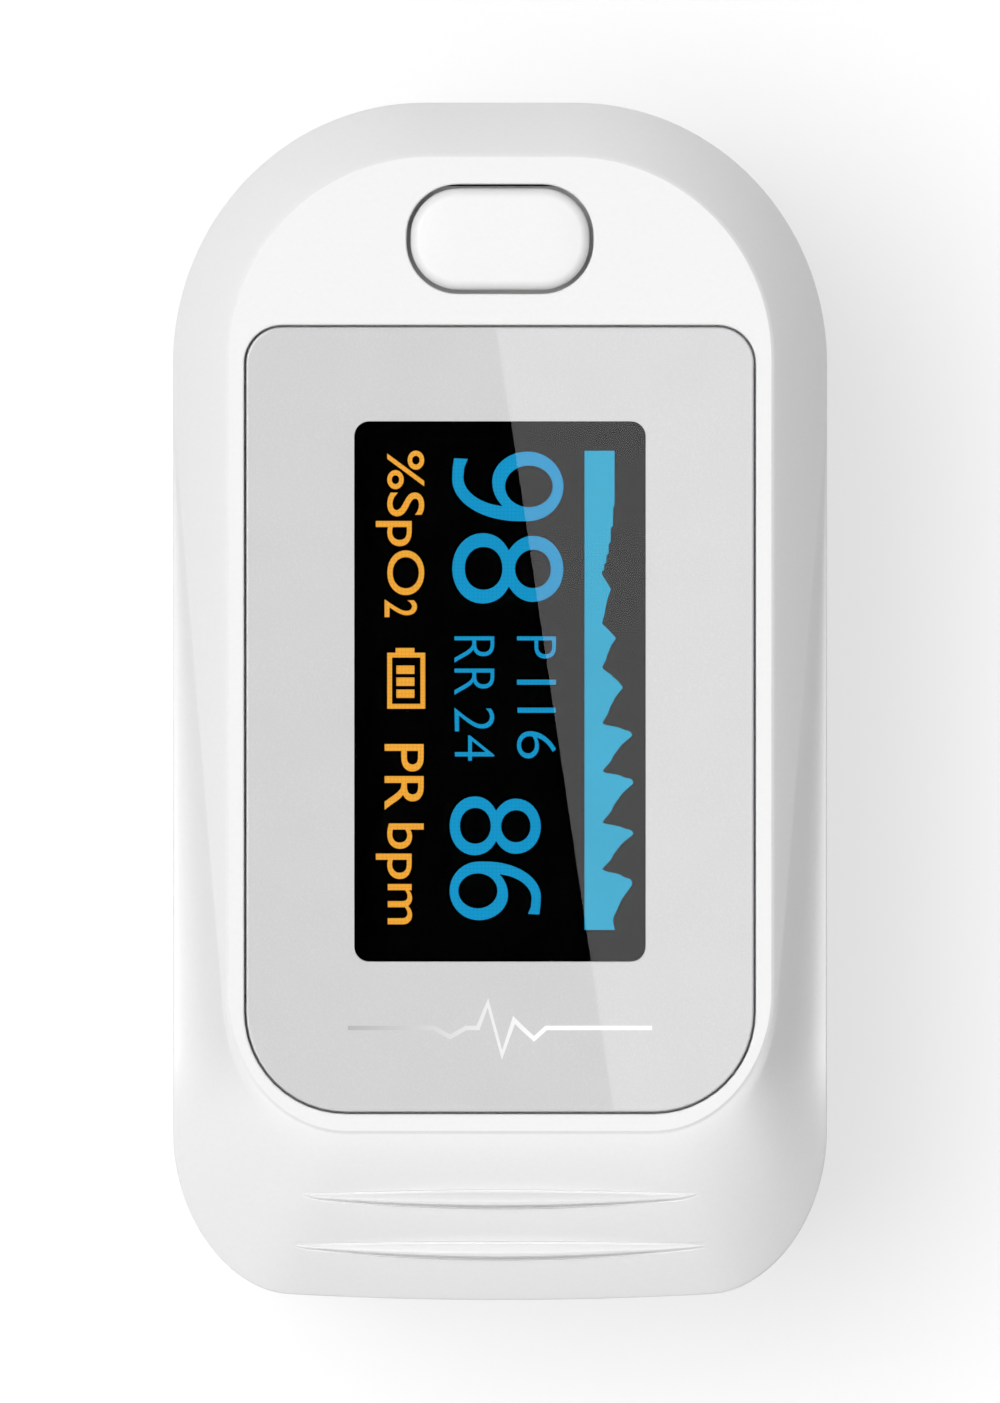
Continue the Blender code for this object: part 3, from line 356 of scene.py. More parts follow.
def rounded_profile(corners, radius, steps=5):
    """A (radius, height) profile with its inner corners rounded, for turned()."""
    points = [corners[0]]
    for before, corner, after in zip(corners, corners[1:], corners[2:]):
        size = min(radius, math.dist(before, corner) / 2.2, math.dist(corner, after) / 2.2)
        a = [c + (p - c) * size / math.dist(before, corner) for p, c in zip(before, corner)]
        b = [c + (p - c) * size / math.dist(after, corner) for p, c in zip(after, corner)]
        points += [bezier(a, corner, b, k / steps) for k in range(steps + 1)]
    points.append(corners[-1])
    return points


def bezier(a, corner, b, t):
    """A point on the curve that rounds a corner off."""
    return tuple(
        p * (1 - t) ** 2 + 2 * q * t * (1 - t) + r * t * t for p, q, r in zip(a, corner, b)
    )


def joined(paths, counts, reaches, steps=5):
    """Paths laid end to end, with the corner between each two rounded off by its reach."""
    points = []
    for i, (path, count) in enumerate(zip(paths, counts)):
        head = reaches[i - 1] if i else 0.0
        tail = reaches[i] if i < len(reaches) else 0.0
        part = span(path, count, head, tail)
        if points:
            before = points[-1]
            points += [bezier(before, path[0], part[0], k / steps) for k in range(1, steps)]
        points += part
    return points


def quarter(radius, steps=6):
    """(inset, drop) pairs down a quarter round, from its flat top to its upright side."""
    turns = [math.pi / 2 * k / steps for k in range(steps + 1)]
    return [(radius * (1 - math.sin(t)), radius * (1 - math.cos(t))) for t in turns]


# ---------------------------------------------------------------- objects
def add_object(name, bm):
    mesh = bpy.data.meshes.new(name)
    bm.to_mesh(mesh)
    bm.free()
    obj = bpy.data.objects.new(name, mesh)
    bpy.context.scene.collection.objects.link(obj)
    return obj


def shape(obj, operation, bm):
    """Cuts, joins or crops an object with a tool solid, which settle() removes."""
    number = len(obj.modifiers)
    tool = add_object(f"tool.{obj.name}.{number}", bm)
    use_tool(obj, operation, tool)


def use_tool(obj, operation, tool):
    tool.hide_render = True
    modifier = obj.modifiers.new(f"{operation.lower()}_{len(obj.modifiers)}", "BOOLEAN")
    modifier.operation = operation
    modifier.object = tool


def cut(obj, bm):
    shape(obj, "DIFFERENCE", bm)


def join(obj, bm):
    shape(obj, "UNION", bm)


def moved(bm, matrix):
    bm.transform(matrix)
    return bm


def realise(obj):
    """Applies the modifiers."""
    graph = bpy.context.evaluated_depsgraph_get()
    mesh = bpy.data.meshes.new_from_object(obj.evaluated_get(graph), depsgraph=graph)
    obj.modifiers.clear()
    obj.data = mesh
    mesh.name = obj.name


def remove_tools():
    for obj in list(bpy.data.objects):
        if obj.name.startswith("tool."):
            bpy.data.objects.remove(obj)


def settle(obj, place, finishes, nodes, body, sharp=32.0):
    """Makes a piece final: metres, smooth shading, its finish, its body and the nodes it stands for."""
    if obj.modifiers:
        realise(obj)
        remove_tools()
    mesh = obj.data
    bm = bmesh.new()
    bm.from_mesh(mesh)
    bmesh.ops.remove_doubles(bm, verts=bm.verts, dist=0.002)
    bmesh.ops.dissolve_degenerate(bm, edges=bm.edges, dist=0.002)
    bm.transform(Matrix.Scale(MM, 4) @ place)
    bm.to_mesh(mesh)
    bm.free()
    mesh.shade_smooth()
    mesh.set_sharp_from_angle(angle=math.radians(sharp))
    weigh = obj.modifiers.new("even_shading", "WEIGHTED_NORMAL")
    weigh.keep_sharp = True
    weigh.weight = 100
    mesh.materials.clear()
    for finish in finishes:
        mesh.materials.append(finish)
    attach(obj, body)
    if nodes:
        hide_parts(*nodes)
    return obj


# ---------------------------------------------------------------- upper jaw: cover
def cover_section(edge, lining, island, rim):
    """One upright slice of the cover's skin, from its seam up the side and over the band."""
    ridge = edge_height(edge[1])
    middle = band_middle(edge[1])
    lower = [band_point(edge, island, middle * k / 24) for k in range(25)]
    upper = [band_point(edge, island, middle + (1 - middle) * k / 24) for k in range(25)]
    seam = ridge - SKIRT
    paths = (
        [(*lining, seam), (*edge, seam)],
        [(*edge, seam), lower[0]],
        lower,
        upper,
        [upper[-1], (*rim, TOP_Z)],
    )
    return joined(paths, (1, 2, 13, 13, 2), (0.08, 0.13, 0.13, 0.07))


def lining_ring(s):
    """A ring of the cover's inner face."""
    ring = []
    shapes = (UPPER, inset(UPPER, 1.3), inset(ISLAND, 1.3))
    for edge, outer, inner in zip(*(outline(plan) for plan in shapes)):
        middle = band_middle(edge[1])
        t = middle * s * 2 if s < 0.5 else middle + (1 - middle) * (s * 2 - 1)
        x, y = (a + (b - a) * t for a, b in zip(outer, inner))
        ring.append((x, y, band_height(edge[1], t) - 1.0 - 0.95 * s))
    return ring


def flared(outline_at, grow, radius, surface, deep, sign=1):
    """A pocket's cutter whose mouth flares, which leaves a rounded edge round the pocket."""
    rings = [level(outline_at(grow), deep)]
    for spread, drop in reversed(quarter(radius)[1:]):
        rings.append(level(outline_at(grow + spread), surface - sign * drop))
    rings.append(level(outline_at(grow + radius), surface + sign * 0.002))
    rings.append(level(outline_at(grow + radius), surface + sign * 2.0))
    return loft(rings)


def grip_rib(share, half):
    """A crescent rib across the sloping rear, steeper on its lower side."""
    rails = [band_ring(share + d, FINE) for d in (-0.045, 0.0, 0.045)]
    rings = []
    for low, mid, high in zip(*rails):
        if abs(mid[0]) > half or mid[1] > ISLAND.rear:
            continue
        size = 0.1 + 0.9 * (1 - (mid[0] / half) ** 2)
        ends = [[m + (p - m) * size for p, m in zip(rail, mid)] for rail in (low, high)]
        ring = []
        for k in range(11):
            v = k / 10
            lift = size * 0.62 * min(1.0, v / 0.3) ** 0.6 * min(1.0, (1 - v) / 0.45) ** 0.7 - 0.05
            x, y, z = (a + (b - a) * v for a, b in zip(*ends))
            ring.append((x, y - 0.2 * lift, z + lift))
        rings.append([*ring, (mid[0], mid[1], mid[2] - 0.7)])
    rings.sort(key=lambda ring: ring[0][0])
    return loft(rings)


def rib_groove(share, half, side, deep):
    """A fine groove along the lower (side = -1) or upper edge of a grip rib, as a cutter."""
    rings = []
    for mid, edge in zip(band_ring(share, FINE), band_ring(share + 0.045 * side, FINE)):
        if abs(mid[0]) > half or mid[1] > ISLAND.rear:
            continue
        size = 0.1 + 0.9 * (1 - (mid[0] / half) ** 2)
        mid, edge = Vector(mid), Vector(edge)
        run = (edge - mid).normalized() * 0.11
        foot = mid + (edge - mid) * size + run * 0.7
        lift = Vector((0, 0, 0.07))
        rings.append([foot - run + lift, foot - Vector((0, 0, deep * size)), foot + run + lift])
    rings.sort(key=lambda ring: ring[0][0])
    return loft(rings)


def add_top_cover(finish):
    shapes = (UPPER, inset(UPPER, 1.3), ISLAND, inset(ISLAND, 0.15))
    sections = [cover_section(*spots) for spots in zip(*(outline(plan) for plan in shapes))]
    inner = [lining_ring(s) for s in (1.0, 0.7, 0.35, 0.0)]
    ceiling = level(outline(inset(ISLAND, 1.5)), CEILING_Z)
    cover = add_object("cover_shell", loft([ceiling, *inner, *zip(*sections)]))
    posts = [(x, y, 1.9, 3.3, 0.8, 5.7) for x in (-SCREW_X, SCREW_X) for y in SCREW_Y]
    posts += [(x, y, 1.5, PCB_TOP + FIT, 0.6, 2.45) for x, y in BOARD_SCREWS]
    for x, y, radius, low, bore, deep in posts:
        join(cover, cylinder_z(x, y, radius, low, CEILING_Z + 0.6))
        cut(cover, cylinder_z(x, y, bore, low - 1.0, low + deep))
    cut(cover, flared(lens_outline, 0.1, 0.1, TOP_Z, TOP_Z - 1.45))
    w, length, mid = WINDOW
    cut(cover, prism(rounded_rectangle(w + 1.0, length + 1.0, 0.9, mid), 11.0, 14.0))
    cut(cover, flared(button_outline, 0.2, 0.1, TOP_Z, 11.0))
    for share, half in RIBS:
        join(cover, grip_rib(share, half))
        cut(cover, rib_groove(share, half, -1, 0.2))
        cut(cover, rib_groove(share, half, 1, 0.1))
    settle(cover, JAW, [finish], ["top_cover"], "upper_jaw", 28.0)


# ---------------------------------------------------------------- upper jaw: lens, display, button
def add_lens(silver, glass):
    """The clear plate: silver behind its border, and clear over the display."""
    w, length, mid = WINDOW
    clear = rounded_rectangle(w, length, 0.75, mid)
    rings = [level(clear, LENS_LOW), level(lens_outline(-0.06), LENS_LOW)]
    rings.append(level(lens_outline(0.0), LENS_LOW + 0.06))
    for spread, drop in reversed(quarter(0.1)):
        rings.append(level(lens_outline(-spread), LENS_TOP - drop))
    rings.append(level(clear, LENS_TOP))
    lens = add_object("lens_plate", loft(rings))
    for face in lens.data.polygons:
        face.material_index = 1 if len(face.vertices) > 4 else 0
    kept = [face.material_index for face in lens.data.polygons]
    settle(lens, JAW, [silver, glass], ["display_lens"], "upper_jaw", 40.0)
    if len(kept) == len(lens.data.polygons):
        lens.data.polygons.foreach_set("material_index", kept)


def add_button(finish):
    """The power key, with its flange under the cover and a softly pillowed top."""
    w, length, mid = BUTTON
    stem = rounded_rectangle(2.4, 2.4, 1.2, mid)
    flange = rounded_rectangle(w + 1.4, 5.45, 2.4, mid - 0.075)
    top = TOP_Z + 0.06
    rings = [level(stem, SWITCH_TOP + 0.05), level(stem, 10.9), level(flange, 10.9)]
    rings += [level(flange, CEILING_Z - 0.12), level(button_outline(0.0), CEILING_Z - 0.12)]
    for spread, drop in reversed(quarter(0.5, 10)):
        rings.append(level(button_outline(-spread), top - drop))
    for share in (0.35, 0.65, 0.85, 0.97):
        rise = 0.04 * math.sin(share * math.pi / 2)
        rings.append(level(button_outline(-0.5 - 1.8 * share), top + rise))
    settle(
        add_object("power_key_cap", loft(rings)), JAW, [finish], ["power_button"], "power_key"
    )


def readout_mesh(name, bm, finish):
    """A lit figure of the display, as a thin layer just over its panel."""
    figure = add_object(name, bm)
    settle(figure, JAW, [finish], [], "upper_jaw", 60.0)
    figure.modifiers.clear()


def slab(points, low, high):
    """A flat plate over any simple outline."""
    bm = loft([level(points, low), level(points, high)])
    bmesh.ops.triangulate(bm, faces=[face for face in bm.faces if len(face.verts) > 4])
    return bm


GLOW_LOW, GLOW_TOP = PANEL_TOP + 0.01, PANEL_TOP + 0.04


def nine(turn):
    """The outline and the hole of a 9 in a box of 1 by 1, or with turn = -1 those of a 6."""
    edge = arc(0.4, 0.6, 0.6, 0.6, -90, 0, 16) + arc(0.5, 0.68, 0.5, 0.32, 0, 180, 24)
    edge += arc(0.43, 0.68, 0.43, 0.32, 184, 270, 12) + arc(0.43, 0.68, 0.5, 0.32, 278, 314, 6)
    edge += arc(0.37, 0.52, 0.42, 0.42, -10, -90, 14) + [(0.23, 0.108), (0.106, 0.14), (0.096, 0.017), (0.24, 0.004)]
    hole = arc(0.5, 0.69, 0.3, 0.215, 0, 350, 35)
    return [[(0.5 + (x - 0.5) * turn, 0.5 + (y - 0.5) * turn) for x, y in path] for path in (edge, hole)]


DRAWN = {"9": nine(1), "6": nine(-1)}


def add_figures(name, texts, bold, finish):
    """Figures and unit names. Their tops face +X and they read towards -Y."""
    whole = bmesh.new()
    for body, x0, x1, y0, y1 in texts:
        curve = bpy.data.curves.new(name, "CURVE" if body in DRAWN else "FONT")
        if body in DRAWN:
            curve.dimensions = "2D"
            curve.fill_mode = "BOTH"
            for path in DRAWN[body]:
                line = curve.splines.new("POLY")
                line.points.add(len(path) - 1)
                line.use_cyclic_u = True
                for point, (across, up) in zip(line.points, path):
                    point.co = (across, up, 0.0, 1.0)
        else:
            curve.body = body
            curve.offset = bold
        curve.extrude = 0.01
        curve.resolution_u = 8
        source = bpy.data.objects.new(name, curve)
        bpy.context.scene.collection.objects.link(source)
        graph = bpy.context.evaluated_depsgraph_get()
        mesh = bpy.data.meshes.new_from_object(source.evaluated_get(graph), depsgraph=graph)
        bpy.data.objects.remove(source)
        spots = [vertex.co.copy() for vertex in mesh.vertices]
        (u0, u1), (v0, v1) = ((min(s), max(s)) for s in zip(*((p.x, p.y) for p in spots)))
        for vertex, spot in zip(mesh.vertices, spots):
            across, up = (spot.x - u0) / (u1 - u0), (spot.y - v0) / (v1 - v0)
            height = GLOW_TOP if spot.z > 0 else GLOW_LOW
            vertex.co = (x0 + (x1 - x0) * up, y0 + (y1 - y0) * across, height)
        whole.from_mesh(mesh)
        bpy.data.meshes.remove(mesh)
    bmesh.ops.remove_doubles(whole, verts=whole.verts, dist=0.0005)
    bmesh.ops.recalc_face_normals(whole, faces=whole.faces)
    readout_mesh(name, whole, finish)


def add_battery_sign(finish):
    """The charge sign: a case with its nub, and three bars in it."""
    x0, x1, y0, y1, line = -5.64, -3.74, 2.62, -0.18, 0.24
    case = [(x0, y1), (x1, y1), (x1, y0), (-4.28, y0), (-4.28, 2.86), (-5.22, 2.86), (-5.22, y0), (x0, y0)]
    inner = [(x0 + line, y1 + line), (x1 - line, y1 + line), (x1 - line, y0 - line), (x0 + line, y0 - line)]
    sign = add_object("readout_charge", slab(case, GLOW_LOW, GLOW_TOP))
    cut(sign, slab(inner, GLOW_LOW - 0.1, GLOW_TOP + 0.1))
    for k in range(3):
        low = 0.36 + 0.6 * k
        join(sign, box(-5.18, -4.28, low, low + 0.42, GLOW_LOW, GLOW_TOP))
    settle(sign, JAW, [finish], [], "upper_jaw", 60.0)
    sign.modifiers.clear()


# Each pulse: where it starts along Y, where it peaks, and how high it stands over the trough line.
PULSES = ((6.54, 5.8, 0.45), (4.09, 3.35, 0.7), (1.88, 0.88, 1.05), (-0.9, -1.52, 1.52))
PULSES += ((-3.3, -3.9, 1.58), (-5.86, -6.45, 1.58), (-8.2, -8.95, 1.53))
PULSE_RISE = ((0.0, 0.0), (0.18, 0.15), (0.34, 0.58), (0.55, 0.7), (0.66, 0.93), (1.0, 1.0))
PULSE_FALL = ((0.0, 1.0), (0.12, 0.84), (0.26, 0.64), (0.45, 0.48), (0.58, 0.36), (0.72, 0.3), (1.0, 0.0))
WAVE_START, WAVE_TROUGH = 5.73, 5.1


def between(table, at):
    """The value at this place in a list of (place, value)."""
    for (a, low), (b, high) in zip(table, table[1:]):
        if at <= b:
            return low + (high - low) * (at - a) / (b - a)
    return table[-1][1]


def wave_height(y):
    """Height of the pulse wave: it sinks to its trough line in small steps, then the pulses grow."""
    if y > 9.95:
        return WAVE_START
    if y > PULSES[0][0]:
        sunk = ((9.95 - y) / 3.41) ** 2
        return WAVE_START - 0.08 - 0.11 * round(5 * sunk)
    for k, (start, peak, height) in enumerate(PULSES):
        end = PULSES[k + 1][0] if k + 1 < len(PULSES) else -11.9
        if start >= y > peak:
            share = (start - y) / (start - peak)
            steep = min(1.0, height / 1.5) ** 3
            return WAVE_TROUGH + height * (share + (between(PULSE_RISE, share) - share) * steep)
        if peak >= y > end:
            fall = WAVE_TROUGH + height * between(PULSE_FALL, (peak - y) / (peak - end))
            return fall if k + 1 < len(PULSES) else max(fall, 5.66 + 0.1 * min(1.0, max(0.0, -10.9 - y) / 0.35))
    return WAVE_TROUGH


def add_wave(finish):
    stations = [12.72 - 23.97 * k / 330 for k in range(331)]
    edge = [(wave_height(y), y) for y in stations]
    readout_mesh("readout_wave", slab([(4.23, -11.25), (4.23, 12.72), *edge][::-1], GLOW_LOW, GLOW_TOP), finish)


def tube(points, radius, sides=14):
    """A round wire along a list of points, with closed ends."""
    path = [Vector(p) for p in points]
    rings = []
    side = None
    for k, point in enumerate(path):
        run = (path[min(k + 1, len(path) - 1)] - path[max(k - 1, 0)]).normalized()
        side = run.orthogonal() if side is None else side - run * side.dot(run)
        side = side.normalized()
        other = run.cross(side)
        turns = [2 * math.pi * n / sides for n in range(sides)]
        rings.append([point + (side * math.cos(t) + other * math.sin(t)) * radius for t in turns])
    return loft(rings)


def add_pulse_mark(finish):
    """A plain pulse line printed on the lens below the display."""
    beat = ((7.6, 0.0), (2.3, 0.0), (1.7, 0.55), (1.1, 0.0), (0.7, -0.4), (0.1, 1.35), (-0.6, -1.25))
    beat += ((-1.1, 0.0), (-1.7, 0.0), (-2.5, 0.45), (-3.3, 0.0), (-7.6, 0.0))
    middle = -16.1
    half = 0.11
    sides = ([], [])
    for k, (x, y) in enumerate(beat):
        before, after = beat[max(k - 1, 0)], beat[min(k + 1, len(beat) - 1)]
        a, b = (Vector((x - before[0], y - before[1])), Vector((after[0] - x, after[1] - y)))
        a = a.normalized() if a.length else b.normalized()
        b = b.normalized() if b.length else a
        run = (a + b).normalized()
        wide = half / max(0.45, run.dot(a))
        for points, sign in zip(sides, (1, -1)):
            points.append((x - run.y * wide * sign, middle - (y + run.x * wide * sign)))
    mark = add_object("lens_mark", slab(sides[0] + sides[1][::-1], LENS_TOP - 0.02, LENS_TOP + 0.008))
    settle(mark, JAW, [finish], [], "upper_jaw", 60.0)
    mark.modifiers.clear()


def add_readout(orange, blue, pale):
    labels = [("%SpO", -6.21, -3.79, 12.73, 5.5), ("2", -5.77, -4.15, 5.27, 4.4)]
    labels += [("PR", -5.77, -3.82, -1.95, -5.24), ("bpm", -6.21, -3.82, -5.92, -10.97)]
    add_figures("readout_units", labels, 0.006, orange)
    add_battery_sign(orange)
    values = [("9", -2.39, 3.17, 12.68, 9.2), ("8", -2.39, 3.17, 8.6, 5.08)]
    values += [("8", -2.52, 2.04, -4.57, -7.51), ("6", -2.52, 2.04, -7.83, -10.76)]
    add_figures("readout_values", values, -0.008, blue)
    rates = [("RR", -2.28, -0.29, 3.44, 0.51), ("24", -2.28, -0.29, -0.13, -2.78)]
    rates += [("P", 0.85, 2.8, 3.44, 2.33), ("I", 0.85, 2.8, 1.27, 1.02), ("16", 0.85, 2.8, -0.13, -2.67)]
    add_figures("readout_rates", rates, -0.012, blue)
    add_wave(pale)


# ---------------------------------------------------------------- finger troughs
def finger_half_width(y):
    """The trough narrows towards the fingertip and closes round it."""
    reach = min(1.0, max(0.0, (y - TROUGH_END) / 8.0))
    return (7.3 + 0.9 * min(1.0, max(0.0, (y + 4) / 30))) * math.sqrt(1 - (1 - reach) ** 2)


def stations():
    """Places along the trough, close together where it closes round the fingertip."""
    turns = [math.pi / 2 * (k + 2) / 16 for k in range(14)]
    close = [TROUGH_END + 8.0 * (1 - math.cos(t)) for t in turns]
    return close + [close[-1] + (TROUGH_FRONT - close[-1]) * (k + 1) / 40 for k in range(40)]


def trough_curve(y, grow, depth, sign, steps=40):
    """Half an ellipse across the trough at this station, from -X to +X."""
    half = finger_half_width(y) + grow
    deep = depth * finger_half_width(y) / 8.2 + grow
    points = arc(0, 0, half, deep, 180, 0, steps)
    return [(x, y, sign * (HALF_GAP + z)) for x, z in points]


def housing_half_width(plan, y):
    """Half of the outline's width at this place."""
    half = right_half(plan, SEGMENTS)
    for (xa, ya), (xb, yb) in zip(half, half[1:]):
        if yb <= y <= ya and ya > yb:
            return xa + (xb - xa) * (ya - y) / (ya - yb)
    return plan.half


def ladder(half, steps=40):
    return [-half + 2 * half * k / steps for k in range(steps + 1)]


def cradle_solid(plan, depth, sign):
    """A flange on the parting plane with the trough's thin shell rising from it."""
    rings = []
    narrower = inset(plan, WALL + 0.85)
    for y in (-8.0, -5.75, *stations()):
        wide = housing_half_width(narrower, y)
        flange = 1.0
        if y < TROUGH_END:
            inner = [(x, y, sign * (HALF_GAP + 0.02)) for x in ladder(6.0)]
            outer = [(x, y, sign * (HALF_GAP + flange + 0.02)) for x in ladder(6.9)]
        else:
            inner = trough_curve(y, 0.95, depth, sign)
            outer = trough_curve(y, 1.85, depth, sign)
            outer = [(x, yy, sign * max(sign * z, HALF_GAP + flange)) for x, yy, z in outer]
        ring = [(-wide, y, sign * HALF_GAP), *inner, (wide, y, sign * HALF_GAP)]
        ring += [(wide, y, sign * (HALF_GAP + flange)), *outer[::-1]]
        ring += [(-wide, y, sign * (HALF_GAP + flange))]
        rings.append(ring)
    return loft(rings)


def groove(y):
    """Depth of the shallow cross grooves that grip the finger, on both sides of the sensor."""
    if 16.0 < y < 25.0:
        return 0.16 * math.sin((y - 16.0) * math.pi / 1.5) ** 2
    return 0.0


def chamfered_curve(y, grow, depth, sign):
    """trough_curve, drawn back at its ends so that the last one lies along the finger opening's chamfer."""
    if y <= LINING_BEND:
        return trough_curve(y, grow, depth, sign)
    share = (y - LINING_BEND) / (TROUGH_FRONT - LINING_BEND)
    points = []
    for k, (_x, _y, z) in enumerate(trough_curve(y, grow, depth, sign)):
        end = FRONT_Y - MOUTH_DEPTH - 0.9 + (abs(z) - HALF_GAP) * MOUTH_DEPTH / MOUTH_RISE
        back = LINING_BEND + (min(end, TROUGH_FRONT) - LINING_BEND) * share
        points.append(trough_curve(back, grow, depth, sign)[k])
    return points


def pad_solid(depth, sign):
    """The rubber lining, 0.75 thick, with cross grooves towards the finger opening."""
    rings = []
    places = [y for y in stations() if not 15.5 < y < 25.5]
    places += [15.5 + 10.0 * k / 80 for k in range(81)]
    for y in sorted(places):
        inner = chamfered_curve(y, 0.0, depth, sign)
        outer = chamfered_curve(y, 0.75, depth, sign)
        dip = groove(y)
        eased = []
        for k, (a, b) in enumerate(zip(inner, outer)):
            share = dip * math.sin(math.pi * k / (len(inner) - 1)) ** 0.5 / 0.75
            eased.append(tuple(p + (q - p) * share for p, q in zip(a, b)))
        rings.append(eased + outer[::-1])
    return loft(rings)


def sharp_mouth(sign, back):
    """Everything outside the finger opening's chamfer, moved back by this much, as a cutter."""
    shift = back * math.hypot(MOUTH_DEPTH, MOUTH_RISE) / MOUTH_RISE
    y0 = FRONT_Y - MOUTH_DEPTH - shift
    rate = MOUTH_RISE / MOUTH_DEPTH
    points = [(y0 - 1.0, sign * (HALF_GAP - rate)), (y0 + 9.0, sign * (HALF_GAP + 9.0 * rate))]
    return side_prism(points + [(y0 + 9.0, sign * -6), (y0 - 1.0, sign * -6)], -20, 20)


def soft_mouth(sign):
    """The chamfer's own cutter, which rounds it into the parting face and the front face."""
    rise = (MOUTH_DEPTH, MOUTH_RISE)
    run = Vector(rise).normalized()
    low = Vector((FRONT_Y - MOUTH_DEPTH, HALF_GAP))
    high = low + Vector(rise)
    near, far = 0.7, 1.0
    path = [bezier(low - Vector((near, 0.01)), low, low + run * near, k / 8) for k in range(9)]
    lip = high + Vector((0.13, far))
    path += [bezier(high - run * far, high, lip, k / 10) for k in range(11)]
    path += [(FRONT_Y + 4.0, high.y + far), (FRONT_Y + 4.0, -6.0), (path[0][0], -6.0)]
    return side_prism([(y, sign * z) for y, z in path], -20, 20)


def add_finger_parts(side, plan, depth, sign, finishes, body):
    """Cradle, rubber lining and optical window of one jaw."""
    cradle = add_object(f"{side}_cradle", cradle_solid(plan, depth, sign))
    for x in (-SCREW_X, SCREW_X):
        for y in SCREW_Y:
            join(cradle, cylinder_z(x, y, 2.0, *sorted((sign * 0.9, sign * 2.2)), 48))
            cut(cradle, cylinder_z(x, y, 1.7, *sorted((sign * -0.5, sign * 1.25)), 48))
            cut(cradle, cylinder_z(x, y, 0.95, *sorted((sign * 0.5, sign * 3.0))))
    cut(cradle, sharp_mouth(sign, WALL + 0.15))
    pad = add_object(f"{side}_lining", pad_solid(depth, sign))
    low, high = sorted((sign * (depth - 2.0), sign * (depth + 3.0)))
    for piece in (cradle, pad):
        cut(piece, prism(rounded_rectangle(6.6, 8.6, 1.2, SENSOR_Y), low, high))
    nodes = [f"{side}_finger_cradle"]
    settle(cradle, JAW, [finishes["cradle"]], nodes, body)
    settle(pad, JAW, [finishes["rubber"]], [f"{side}_finger_pad"], body)
    face = depth * 0.985 - 0.35
    rings = [level(rounded_rectangle(6.2, 8.2, 1.0, SENSOR_Y), sign * (face + 1.0))]
    for spread, drop in reversed(quarter(0.3)):
        plate = rounded_rectangle(6.2 - 2 * spread, 8.2 - 2 * spread, 1.0 - spread, SENSOR_Y)
        rings.append(level(plate, sign * (face + drop)))
    pane = add_object(f"{side}_sensor_pane", loft(rings))
    settle(pane, JAW, [finishes["pane"]], [f"{side}_sensor_window"], body)


# ---------------------------------------------------------------- housings
def radial(degrees, reach, sign):
    """A point of the notch's wall, this far behind the hinge axis, as (Y, Z) in the jaw frame."""
    angle = math.radians(degrees)
    return (HINGE_Y - reach * math.cos(angle), sign * reach * math.sin(angle))


def below_parting(sign, degrees, corner):
    """The far side of the parting plane and of the notch's wall, which rounds into the rear face."""
    near = HALF_GAP * sign
    points = [(40.0, near), (HINGE_Y + 2.0, near), radial(degrees, 2.0, sign)]
    y, z = radial(degrees, corner, sign)
    lip = (y - 0.09, z + sign * 0.65)
    points += [bezier(radial(degrees, corner - 0.65, sign), (y, z), lip, k / 8) for k in range(9)]
    points += [(-36.0, lip[1]), (-36.0, -sign * 24.0), (40.0, -sign * 24.0)]
    return side_prism(points, -20, 20)


def upper_rows():
    """Rings of the upper housing's outer skin, with soft edges at the jaw gap and at the seam."""
    draft = 0.036
    rows = []
    for spread, drop in [(0.28, -0.75), (0.28, -0.002), *quarter(0.28)[1:], (0.0, 2.0), (0.0, 4.5)]:
        z = HALF_GAP + drop
        rows.append(level(outline(inset(UPPER, (EDGE_Z - z) * draft + spread)), z))
    seam = [edge_height(y) - SKIRT - 0.05 for _, y in outline(UPPER)]
    for by, drop in ((SKIRT * draft, 0.6), (SKIRT * draft, 0.07), (SKIRT * draft + 0.07, 0.0)):
        ring = outline(inset(UPPER, by))
        rows.append([(x, y, z - drop) for (x, y), z in zip(ring, seam)])
    for by in (1.3, WALL + 1.0):
        rows.append([(x, y, z) for (x, y), z in zip(outline(inset(UPPER, by)), seam)])
    rows.append(level(outline(inset(UPPER, WALL + 1.2)), EDGE_Z - 2.0))
    return rows


def finger_arch(depth, sign):
    """The arch that the finger passes through in a jaw's front wall."""
    rings = []
    for y in (22.0, 32.0):
        curve = [(x, y, z) for x, _, z in trough_curve(25.0, 0.95, depth, sign, 56)]
        x = curve[-1][0]
        rings.append([(-x, y, -sign * 0.6), *curve, (x, y, -sign * 0.6)])
    return loft(rings)


